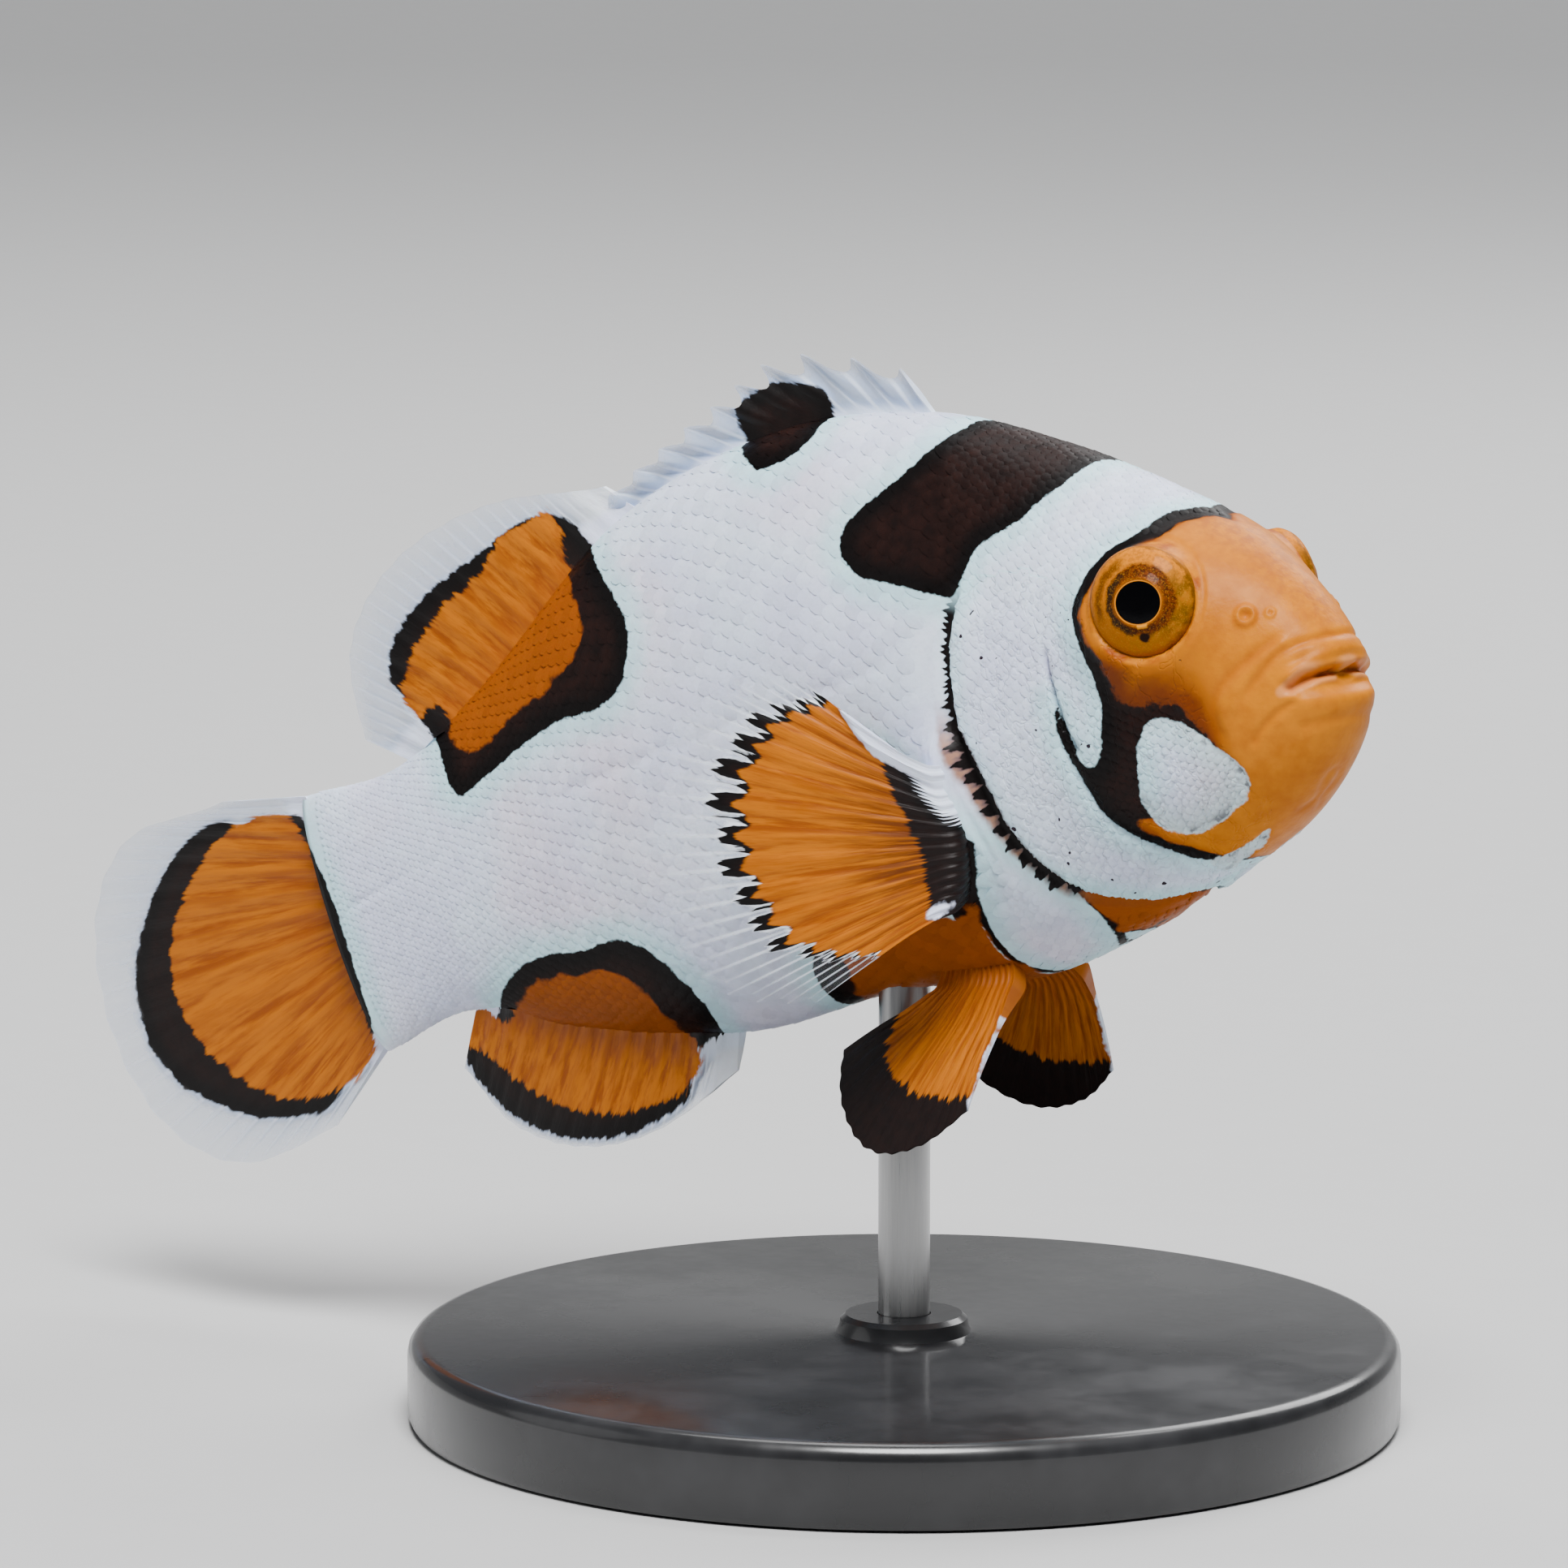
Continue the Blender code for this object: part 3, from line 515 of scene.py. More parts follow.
def face_relief(points, u):
    """Heights of the folds and nostrils, and the share of painted shade in their grooves: each line of
    FACE_FOLDS lifts a bell h exp(-(d / w)^2) of the distance d from it, faded out towards the line's ends."""
    lift, groove_shade = np.zeros_like(u), np.zeros_like(u)
    for line, height, width in FACE_FOLDS:
        d, along = line_distance(points, flank_points(curve(line, np.linspace(0, 1, 14))))
        length = np.linalg.norm(np.diff(flank_points(line), axis=0), axis=-1).sum()
        if line[0][0] < 1.0:        # starts at the middle of the snout, where both sides meet
            fade = smoothstep(length, 0.82 * length, along)
        else:
            fade = smoothstep(0.0, 0.15 * length, along) * smoothstep(length, 0.85 * length, along)
        front = smoothstep(-0.2, 0.5, u) if height > 0.15 else 1.0
        lift = lift + height * fade * front * bell(d, width)
        if height < 0:
            # A groove's share of painted shade, greater the deeper it is.
            groove_shade = np.maximum(groove_shade, fade * bell(d, width * 0.9) * min(1.0, -height / 0.3))
    for nostril_u, nostril_z, size in NOSTRILS:
        d = np.linalg.norm(points - flank_points([(nostril_u, nostril_z)])[0], axis=-1)
        lift = lift + size * (0.5 * bell(d - size, size * 0.36) - 0.3 * bell(d, size * 0.6))
        # Painted shade in a ring round the large nostril and in each nostril's middle.
        moat_shade = 0.4 * bell(d - 1.45 * size, size * 0.3) * (size > 0.3)
        groove_shade = np.maximum(groove_shade, moat_shade + 0.35 * bell(d, size * 0.5))
    return lift, groove_shade


def gill_relief(u, t):
    """The gill cover's scalloped edge, which stands over a dark gap: the relief's height, the
    distance ahead of the edge, the length along it, and the share by which it opens."""
    edge = charted(curve(GILL_EDGE, np.linspace(0, 1, 90)))
    d, along = line_distance(np.stack([u, t], -1), edge)
    ahead = signed_distance(u, t, np.concatenate([edge, charted(np.array(COVER_FRONT))])) > 0
    gill = np.where(ahead, d, -d) + 0.07 * np.abs(np.sin(math.pi * along / 0.95)) - 0.03
    ends = smoothstep(0.0, 1.6, along) * smoothstep(24.5, 18.0, along)
    rim = 0.16 * bell(np.maximum(gill, 0), 2.2) * smoothstep(-0.1, 0.06, gill)
    gap = 0.26 * smoothstep(0.04, -0.1, gill) * smoothstep(-1.1, -0.6, gill)
    slope = 0.12 * smoothstep(-0.1, -0.3, gill) * smoothstep(-2.6, -0.8, gill)
    gill = np.where(ends > 0.02, gill, np.where(gill < 0, -3.0, gill))
    return ends * (rim - gap - slope), gill, along, ends


def with_mouth(points, u, z):
    """The snout's middle drawn back along the line of the mouth, and the front of both lips
    rounded off, each by bells of the height z."""
    middle = 0.34 * bell(z + 0.9, 0.22) + 0.3 * bell(z + 1.4, 0.35)
    drawn = 0.4 * bell(z + 1.55, 0.44) + 0.24 * bell(z + 0.92, 0.28) + 0.26 * bell(z + 0.3, 0.35)
    points[..., 0] -= middle * smoothstep(0.6, 0.0, u)
    points[..., 0] -= drawn * smoothstep(1.6, 0.8, u)
    return points


def with_socket(points):
    """The skin round the eye: it dips under the ball and rises in a ring round it. Also the
    distance from the eye's axis, far off for skin that isn't in front."""
    centre, look = eye_axis()
    away = points - centre
    axial = away @ look
    r = np.linalg.norm(away - axial[..., None] * look, axis=-1)
    front = smoothstep(-1.6, -0.4, axial)
    under = smoothstep(2.72, 2.3, r) * front
    target = axial + under * (ball_height(np.minimum(r, EYE_EDGE)) - 0.32 - axial)
    ring = 0.20 * bell(r - EYE_EDGE, 0.14) - 0.05 * bell(r - 2.82, 0.12) + 0.03 * bell(r - 3.05, 0.14)
    return points + (target + front * ring - axial)[..., None] * look, np.where(front > 0.5, r, 9.0)


@functools.cache
def half_skin(depth):
    """The left half of the skin: points (-u, y, z), and the named fields of its finish.

    The solids' surface is moved in by the coat's depth, less on the bare face, then out or in
    along its normal by the relief of face, gill opening, fin root and lateral line.
    """
    u = np.broadcast_to(skin_stations()[:, None], (len(skin_stations()), HALF_RING))
    angle = np.broadcast_to(np.linspace(-math.pi / 2, math.pi / 2, HALF_RING)[None, :], u.shape)
    z, y = section(u, angle)
    y = y * (np.abs(np.cos(angle)) > 1e-9)
    t = bilinear(arc_table(), arc_row(u), np.degrees(angle) + 90)
    fields = marking_fields(u, t)
    points = np.stack([-u, y, z], -1)
    outward = np.stack([0.3 * (u < 2), np.cos(angle), np.sin(angle)], -1)
    normal = outward_normals(points, outward)
    normal[:, [0, -1], 1] = 0.0
    normal = unit(normal)
    normal[0] = [1.0, 0.0, 0.0]

    bare = smoothstep(-0.15, 0.1, fields["face"]) * smoothstep(0.1, -0.1, fields["white"])
    relief, groove_shade = face_relief(points, u)
    step, gill, along, ends = gill_relief(u, t)
    hinge = flank_distance(points, curve(FIN_HINGE, np.linspace(0, 1, 20)))
    # Pleats of bare skin between the gill opening and the pectoral fin.
    pleated = bell(u - 20.2, 1.6) * smoothstep(-8.5, -5.5, z) * smoothstep(0.6, -1.0, z)
    pleats = 0.07 * pleated * np.sin(2 * math.pi * (u - 0.22 * z) / 0.62)
    lateral = 0.10 * bell(flank_distance(points, LATERAL_LINE), 0.22)
    lift = relief + step + pleats + 0.75 * bell(hinge, 1.0) - lateral - depth * (1 - 0.7 * bare)
    # Distance from the lips' rims, where pale pink is painted as their own colour and as a highlight.
    lip = np.minimum(*(flank_distance(points, line) for line in LIP_EDGES))
    points, eye = with_socket(with_mouth(points + lift[..., None] * normal, u, z))
    points[:, [0, -1], 1] = 0.0

    soft = smoothstep(2.4, 0.8, z) * smoothstep(-4.6, -3.4, z) * smoothstep(4.0, 5.4, u) * (u < 14)
    # The grooves' share of painted shade goes to the finish among the fields.
    fields.update(soft=soft, fold=groove_shade, lip=lip, gill=gill, along=along, eye=np.minimum(eye, 4.0),
                  brow=bell(flank_distance(points, BROW_LINE), 1.8), tone=np.zeros_like(u))
    # No scales on the face, round the eye, in the gill opening, on the fin's root or at the ends.
    free = [hinge < 1.15, ends * (gill < 0.1) * (gill > -1.5), u < 3.5, u > 59.2,
            (t > 2.6) * (fields["face"] > -0.3)]
    fields["bare"] = np.max([bare, smoothstep(3.2, 2.9, eye)] + [each * 1.0 for each in free], axis=0)
    return points, fields


@functools.cache
def skin_surface(depth):
    """The whole skin in the model's frame, its outward normals and its fields: each ring goes up
    the left side from belly to back, then down the right."""
    points, fields = half_skin(depth)

    def whole(half, mirrored):
        return np.concatenate([half, mirrored[:, -2:0:-1]], axis=1)

    body = whole(points, points * [1.0, -1.0, 1.0])
    world = placed(body)
    axis = placed(body * [1.0, 0.0, 0.0])
    ring, middle = (np.concatenate([each[:, -1:], each, each[:, :1]], axis=1) for each in (world, axis))
    normal = outward_normals(ring, ring - middle)[:, 1:-1]
    return world, normal, {name: whole(values, values) for name, values in fields.items()}


SKIN_FIELDS = ("dark", "orange", "white", "face", "mask", "fold", "lip", "gill", "along", "eye", "brow",
               "soft", "tone")


def build_skin(depth, finish):
    """One closed skin over head, trunk and tail stalk, drawn together at the mouth and the tail."""
    world, _, fields = skin_surface(depth)
    mouth = HALF_RING // 2 + 6                          # column on the line of the mouth
    ends = [(world[0, mouth] + world[0, -mouth]) / 2, world[-1].mean(0)]
    attributes = {name: (fields[name], [fields[name][0].mean(), fields[name][-1].max()])
                  for name in SKIN_FIELDS}
    made = ringed_piece("skin", world, ends, finish, attributes)
    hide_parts("head", "lower_jaw", "gill_cover_right", "gill_cover_left", "trunk", "tail_stalk")


# ---------------------------------------------------------------------------
# Coat of scales
# ---------------------------------------------------------------------------

SCALE_SHARES = 6            # points along a scale, with its rim
SCALE_ACROSS = 5
SCALE_SEED = 7
PIECE_TRIANGLES = 190000    # a zone with more is parted into a left and a right piece
PATCH = 0.0015              # half width of a scale's patch on the bake map


def scale_lattice(start, end, around, pitch):
    """Roots (u, share round the ring) of staggered rows; rows are a scale's width times pitch apart."""
    u = np.linspace(start, end, 400)
    step = pitch * girth(u) / around
    count = np.concatenate([[0.0], np.cumsum((u[1] - u[0]) / step[:-1])])
    rows = np.interp(np.arange(int(count[-1]) + 1), count, u)
    shares = (np.arange(around)[None, :] + 0.5 * (np.arange(len(rows)) % 2)[:, None]) / around
    return np.broadcast_to(rows[:, None], shares.shape).ravel(), shares.ravel()


def ring_column(u, share):
    """Column of the skin's grid at a share of the way round, measured along the skin: the degree
    with that length in the arc table is found by halving the step."""
    arcs, row = arc_table(), arc_row(u)
    left = share < 0.5
    up = np.where(left, share * 2, 2 - share * 2)
    low, high = (bilinear(arcs, row, np.full_like(row, k)) for k in (0.0, ARC_DEGREES))
    want = low + (high - low) * up
    degree = np.zeros_like(row)
    for halving in range(1, 10):
        further = degree + ARC_DEGREES / 2 ** halving
        degree = np.where(bilinear(arcs, row, further) < want, further, degree)
    column = degree / ARC_DEGREES * (HALF_RING - 1)
    return np.where(left, column, 2 * (HALF_RING - 1) - column)


def scale_plate(width, tone, pitch, lift):
    """The scale's own shape on a grid of shares v from the root to the rounded rear edge and h
    across: millimetres back, sideways and up. Its root is sunk, its middle domed, its rear edge
    stands clear by lift, and the last row is a rim that goes down into the skin."""
    v = np.append(np.linspace(0.0, 1.0, SCALE_SHARES - 1), 1.0)[:, None]
    h = np.linspace(-1.0, 1.0, SCALE_ACROSS)[None, :]
    width, tone = width[:, None, None], tone[:, None, None]
    back = 1.62 * pitch * width * (v - 0.24 * v * h ** 2)
    side = 0.5 * width * h * (0.72 + 0.32 * np.sin(math.pi * (0.15 + 0.75 * v)))
    rim = (np.arange(SCALE_SHARES) == SCALE_SHARES - 1)[:, None]
    domed = (-0.03 + (lift + 0.03) * v * (1 + 0.25 * tone)
             + 0.35 * lift * np.sin(math.pi * v) * (1 - h ** 2) - 0.35 * lift * h ** 2)
    return v, h, back, side, np.where(rim, -0.05, domed)


def build_coat(depth, sizes, finish):
    """Scales laid on the skin in staggered rows, smaller on the head, each carried over the skin's
    grid by the steps that make a millimetre back and a millimetre round at its root."""
    world, normal, fields = skin_surface(depth)
    stations, half_ring = skin_stations(), HALF_RING - 1
    names = [name for name in SKIN_FIELDS if name != "tone"] + ["bare"]
    stack = np.stack([fields[name] for name in names], -1)
    lift, rng = sizes.scale_lift / MM, np.random.default_rng(SCALE_SEED)

    def grid_row(u):
        return np.interp(u, stations, np.arange(len(stations)))

    for zone, start, end, around, pitch in (("coat_head", 3.6, 18.6, sizes.head_scales, 0.80),
                                            ("coat_trunk", 18.6, 59.6, sizes.trunk_scales, 0.82)):
        u, share = scale_lattice(start, end, around, pitch)
        share = np.mod(share + rng.uniform(-0.06, 0.06, len(u)) / around, 1.0)
        u = u + rng.uniform(-0.03, 0.03, len(u))
        row, column, width = grid_row(u), ring_column(u, share), girth(u) / around
        # A scale is left out where its root or its rear edge would lie on bare skin.
        rear = grid_row(u + 1.5 * pitch * width)
        clear = np.maximum(*(bilinear(stack, r, column, wrap=True)[:, -1] for r in (row, rear)))
        keep = clear < 0.5
        u, row, column, share = u[keep], row[keep], column[keep], share[keep]
        width, tone = width[keep] * (1.16 - 0.3 * clear[keep]), rng.uniform(-0.5, 0.5, keep.sum())
        v, h, back, side, height = scale_plate(width, tone, pitch, lift)
        place = bilinear(world, row, column, wrap=True)
        ahead = bilinear(world, np.minimum(row + 1, len(stations) - 1.01), column, wrap=True)
        beside = bilinear(world, row, column + 1, wrap=True)
        per_row, per_column = (1 / (np.linalg.norm(step - place, axis=-1) + 1e-6) for step in (ahead, beside))
        rows = row[:, None, None] + back * np.minimum(per_row, 14.0)[:, None, None]
        columns = column[:, None, None] + side * per_column[:, None, None]
        rows, columns = np.broadcast_arrays(rows, columns)
        points = (bilinear(world, rows, columns, wrap=True)
                  + bilinear(normal, rows, columns, wrap=True) * height[..., None])
        values = bilinear(stack, rows, columns, wrap=True)
        # On the bake map each scale is a small patch at its root's place.
        patch = [0.02 + 0.95 * (u / STANDARD_LENGTH)[:, None, None] + PATCH * (v * 2 - 1),
                 0.01 + 0.97 * share[:, None, None] + PATCH * h]
        unwrap = np.stack([np.broadcast_to(each, rows.shape) for each in patch], -1)
        cell = grid_quads(SCALE_SHARES, SCALE_ACROSS)
        parts = [("", np.ones(len(u), bool))]
        if len(u) * len(cell) * 2 > PIECE_TRIANGLES:
            parts = [("_left", column < half_ring), ("_right", column >= half_ring)]
        for word, chosen in parts:
            first = np.arange(int(chosen.sum()))[:, None, None] * SCALE_SHARES * SCALE_ACROSS
            quads = (first + cell[None]).reshape(-1, 4)
            attributes = {name: values[chosen][..., k] for k, name in enumerate(names) if name != "bare"}
            attributes["tone"] = np.broadcast_to(tone[chosen][:, None, None], values[chosen].shape[:3])
            made = piece(zone + word, points[chosen].reshape(-1, 3), quads, finish, attributes=attributes,
                         bake_map=unwrap[chosen].reshape(-1, 2), sharp=50)


# ---------------------------------------------------------------------------
# Eyes
# ---------------------------------------------------------------------------

FRONT_RINGS, REAR_RINGS, EYE_COLUMNS = 58, 12, 96


def build_eye(name, side, sizes, finish):
    """A ball of polar rings about the eye's axis, the flat-topped dome of ball_height in front and
    closed behind. The iris is a little hollow and the pupil has a raised rim; towards the middle
    the rings are shifted forward, so that the pupil sits ahead of the centre."""
    centre, look = eye_axis(side)
    across, up = np.cross([0.0, 0.0, 1.0], look), np.array([0.0, 0.0, 1.0])
    pupil, hole = sizes.pupil_radius / MM, 0.02
    radius = np.concatenate([np.linspace(hole, EYE_EDGE, FRONT_RINGS), np.linspace(2.45, hole, REAR_RINGS)])
    turn = np.linspace(0.0, 2 * math.pi, EYE_COLUMNS, endpoint=False)
    height = (ball_height(radius) - 0.10 * smoothstep(pupil, 1.5, radius) * smoothstep(2.4, 1.9, radius)
              + 0.05 * bell(radius - pupil - 0.05, 0.05))
    height[FRONT_RINGS:] = -0.4 - 0.9 * np.sqrt(1 - (radius[FRONT_RINGS:] / EYE_EDGE) ** 2 * 0.98)
    r = radius[:, None]
    sideways, upward = r * np.cos(turn), r * np.sin(turn)
    shift = PUPIL_SHIFT * (1 - np.minimum(r / EYE_EDGE, 1.0) ** 2)
    body = (centre + height[:, None, None] * look + (sideways - shift)[..., None] * across * side
            + upward[..., None] * up)
    rings = placed(body)
    shown = np.broadcast_to(np.where(np.arange(len(radius)) < FRONT_RINGS, radius, EYE_RADIUS)[:, None],
                            sideways.shape)
    attributes = {"eye": (shown, [0.0, EYE_RADIUS]), "eye_up": (upward, [0.0, 0.0]),
                  "eye_across": (sideways, [0.0, 0.0])}
    made = ringed_piece(name + "_ball", rings, [rings[0].mean(0), rings[-1].mean(0)], finish, attributes)
    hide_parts(name)


# ---------------------------------------------------------------------------
# Fins
# ---------------------------------------------------------------------------

COLUMNS_PER_RAY = 10
MEDIAN_ROWS, PAIRED_ROWS, LOBE_ROWS = 46, 44, 12


def fan(roots, angles, lengths, rays, rows, notch, inner=0.0):
    """A fin in its own plane: roots, ray directions and lengths follow smooth curves from the
    first ray to the last, and the margin is notched by notch x (1 - cos) between rays. Inwards it
    goes on by the share inner of a ray. Returns plane coordinates, share out along the ray, share
    across, ray number and length."""
    across = np.linspace(0.0, 1.0, (rays - 1) * COLUMNS_PER_RAY + 1)
    phase = across * (rays - 1)
    root, angle = curve(roots, across), np.radians(curve(angles, across))
    between = 0.5 - 0.5 * np.cos(2 * math.pi * phase)
    length = curve(lengths, across) * (1 - notch * between ** 0.7)
    out = np.linspace(-inner, 1.0, rows)
    way = np.stack([np.cos(angle), np.sin(angle)], -1)
    reach = np.where(out < 0, np.maximum(length[:, None], 4.5), length[:, None])
    sheet = root[:, None] + (reach * out)[..., None] * way[:, None]
    spread = [np.broadcast_to(v, sheet.shape[:2]) for v in
              (out[None, :], across[:, None], phase[:, None], length[:, None])]
    return sheet, *spread


def web_thickness(out, phase, sizes):
    """Half thickness of rays and web: fullest on each ray, which forks once beyond half way, and
    thinner towards the margin."""
    single = 0.5 + 0.5 * np.cos(2 * math.pi * phase)
    forked = 0.5 + 0.5 * np.cos(4 * math.pi * (phase - 0.25))
    fork = smoothstep(0.35, 0.75, out)
    relief = single * (1 - fork) + np.maximum(forked, 0.3 * single) * fork
    return sizes.fin_thickness / MM / 2 * (0.72 + 0.3 * relief) * (1 - 0.5 * smoothstep(0.5, 1.0, out))


def fin_shell(node, sheet, half, finish, attributes):
    """A closed shell: the sheet moved both ways along its normals by half, joined round the rim."""
    rows, columns = sheet.shape[:2]
    offset = grid_normals(sheet) * half[..., None]
    points = np.concatenate([(sheet + offset).reshape(-1, 3), (sheet - offset).reshape(-1, 3)])
    cells, count = grid_quads(rows, columns), rows * columns
    grid = np.arange(count).reshape(rows, columns)
    rim = np.concatenate([grid[0, :-1], grid[:-1, -1], grid[-1, :0:-1], grid[:0:-1, 0]])
    following = np.roll(rim, -1)
    band = np.stack([rim, following, following + count, rim + count], -1)
    made = piece(node + "_web", points, np.concatenate([cells, cells[:, ::-1] + count, band]), finish,
                 attributes={label: np.tile(np.ravel(v), 2) for label, v in attributes.items()}, sharp=60)
    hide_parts(node)


def root_line(start, end, edge, lift):
    """Root points along the back (edge 0) or belly (edge 1)."""
    u = np.linspace(start, end, 5)
    return np.stack([u, body_outline(u)[edge] + lift], -1)


def build_median_fin(name, roots, angles, lengths, rays, notch, wave, sizes, finish, crumple=0.0, inner=0.2,
                     root=0.42, sheath=0.0, carry=0.0, slot="fin"):
    """A fin in the middle plane, waved by wave sin(2 pi s) out^2 and by crumple on each ray. Its
    root swells into the body, its first rays, up to the number sheath, are wrapped in white skin,
    and near the root the markings are read carry millimetres further along the chart."""
    sheet, out, across, phase, length = fan(roots, angles, lengths, rays, MEDIAN_ROWS, notch, inner)
    distance = out * length
    y = (wave * np.sin(2 * math.pi * across) * np.maximum(out, 0) ** 2
         + crumple * np.sin(2 * math.pi * phase + 3.0 * across) * smoothstep(0.1, 0.9, out))
    u, z = sheet[..., 0], sheet[..., 1]
    inside = 0.3 + 0.7 * smoothstep(0.0, 2.0, phase) * smoothstep(0.0, 2.0, rays - 1 - phase)
    swelling = root * inside * np.exp(-np.maximum(out + inner, 0) * length / 1.3)
    half = web_thickness(out, phase, sizes) + swelling
    fields = marking_fields(u, chart(u, z) + carry * bell(np.maximum(distance, 0), 0.9))
    wrapped = smoothstep(sheath, 0.4 * sheath, phase) if sheath else np.zeros_like(u)
    cover = np.max([smoothstep(-0.28, 0.02, fields["dark"]), smoothstep(-0.2, 0.0, fields["orange"]),
                    smoothstep(1.5, 0.5, distance), wrapped], axis=0)
    attributes = {"dark": fields["dark"], "orange": fields["orange"], "white": np.full_like(u, -1.0),
                  "cover": cover, "phase": phase, "out": out, "shade": np.zeros_like(u),
                  "film": (1.0 if slot == "fin_clear" else 0.7) * (1 - wrapped)}
    fin_shell(name, to_world(u, z, y), half, finish, attributes)


def build_paired_fin(name, side, place, tilt, roots, angles, lengths, rays, notch, cup, body_root, borders,
                     sizes, finish):
    """A fin held out from a flank: flat in its tilted plane, bowed by cup (out^2 - out). Its root
    is carried into the body as a fleshy lobe, Hermite curves from the points of body_root that
    arrive along the rays. The borders of its colours are curves across the fin."""
    u, z, y = place
    forward, left, up = axis_directions(u)
    back, outward = -forward, side * left
    first = unit(tilt[0] * back + tilt[1] * outward - tilt[2] * up)
    second = back if tilt[2] > tilt[0] else up
    second = unit(second - np.dot(second, first) * first)
    normal = np.cross(first, second)
    normal = normal * np.sign(np.dot(normal, outward))
    sheet, out, across, phase, length = fan(roots, angles, lengths, rays, PAIRED_ROWS, notch)
    bow = cup * (out ** 2 - out)[..., None] * normal
    web = pitched(bent(u, z, side * y) + sheet[..., :1] * first + sheet[..., 1:] * second - bow) + STAND_SHIFT
    target = curve(body_root, across[:, 0])
    inside = to_world(target[:, 0], target[:, 1], side * target[:, 2])
    k = np.linspace(0.0, 1.0, LOBE_ROWS + 1)[None, :-1, None]
    gap = web[:, 0] - inside
    reach = np.linalg.norm(gap, axis=-1)[:, None, None]
    lobe = hermite(inside[:, None], web[:, :1], gap[:, None], unit(web[:, 2] - web[:, 0])[:, None] * reach, k)

    def carried(values, before):
        return np.concatenate([np.broadcast_to(before, lobe.shape[:2]), values], axis=1)

    # Millimetres from the fin's root, negative in the lobe.
    distance = carried(out * length, -(1 - k[..., 0]) * reach[..., 0])
    across, phase, length = (carried(v, v[:, :1]) for v in (across, phase, length))
    out = distance / length
    half = web_thickness(out, phase, sizes) + 0.34 * smoothstep(2.2, -0.6, distance)
    teeth = 0.5 + 0.5 * np.cos(2 * math.pi * phase)
    ray = np.round(phase)
    uneven = 0.5 * np.sin(2.4 * ray + 1.0) + 0.5 * np.sin(5.3 * ray)
    tips, black_web, orange_end, bar, bar_start = (curve(v, across) for v in borders)
    # Black ends of the rays stand a little apart beyond the orange web.
    ends = np.minimum((tips + 0.03 * uneven - out) * length, (teeth - 0.16 - 0.12 * uneven) * 1.8)
    dark = np.minimum(np.maximum(ends, (black_web + 0.02 * teeth - out) * length), distance - bar_start)
    orange = np.minimum((orange_end - 0.01 + 0.02 * teeth + 0.012 * uneven - out) * length, distance - bar)
    if name.startswith("pectoral"):
        # White skin over the stalk of the first rays and the knuckle under the last.
        knuckle = np.hypot((across - 0.93) * 9.0, (distance - 0.2) * 0.8) - 0.5
        stalk = np.minimum((0.125 - across) * 14, 4.6 - distance - 14 * across)
        white = np.maximum(stalk, -knuckle)
        half = half + 0.22 * smoothstep(-0.3, 0.6, stalk)
        shade = smoothstep(4.6, 0.3, distance - bar) * bell(across - 0.55, 0.3)
    else:
        white = np.minimum((0.014 - across) * 9, distance - 1.5)
        shade = np.zeros_like(out)
    cover = np.max([smoothstep(-0.12, 0.05, dark), smoothstep(-0.2, 0.0, orange), distance < 1.5, white > 0],
                   axis=0)
    attributes = {"dark": dark, "orange": orange, "white": white, "cover": cover, "phase": phase, "out": out,
                  "film": np.zeros_like(out), "shade": shade}
    fin_shell(name, np.concatenate([lobe, web], axis=1), half, finish, attributes)


# ---------------------------------------------------------------------------
# Stand
# ---------------------------------------------------------------------------

AXLE = 0.02                 # radius of the last ring before a turned piece's end is closed


def lathe(node, profile, finish):
    """A turned piece in a node's place: the profile (radius, height) carried round the Z axis in
    160 steps."""
    radius, height = np.array([(AXLE, profile[0][1]), *profile, (AXLE, profile[-1][1])]).T
    turn = np.linspace(0.0, 2 * math.pi, 160, endpoint=False)
    rings = np.stack(np.broadcast_arrays(radius[:, None] * np.cos(turn), radius[:, None] * np.sin(turn),
                                         height[:, None]), -1)
    ends = [(0.0, 0.0, height[0]), (0.0, 0.0, height[-1])]
    made = ringed_piece(node + "_turned", rings, ends, finish, sharp=30)
    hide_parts(node)


# ---------------------------------------------------------------------------
# Shader maths
# ---------------------------------------------------------------------------

class Socket:
    """A node's output; arithmetic on it adds Math nodes."""

    def __init__(self, finish, output):
        self.finish, self.output = finish, output

    def __add__(self, other):
        return self.finish.math("ADD", self, other)

    def __sub__(self, other):
        return self.finish.math("SUBTRACT", self, other)

    def __rsub__(self, other):
        return self.finish.math("SUBTRACT", other, self)

    def __mul__(self, other):
        return self.finish.math("MULTIPLY", self, other)

    def __truediv__(self, other):
        return self.finish.math("DIVIDE", self, other)

    def __abs__(self):
        return self.finish.math("ABSOLUTE", self)

    __radd__, __rmul__ = __add__, __mul__


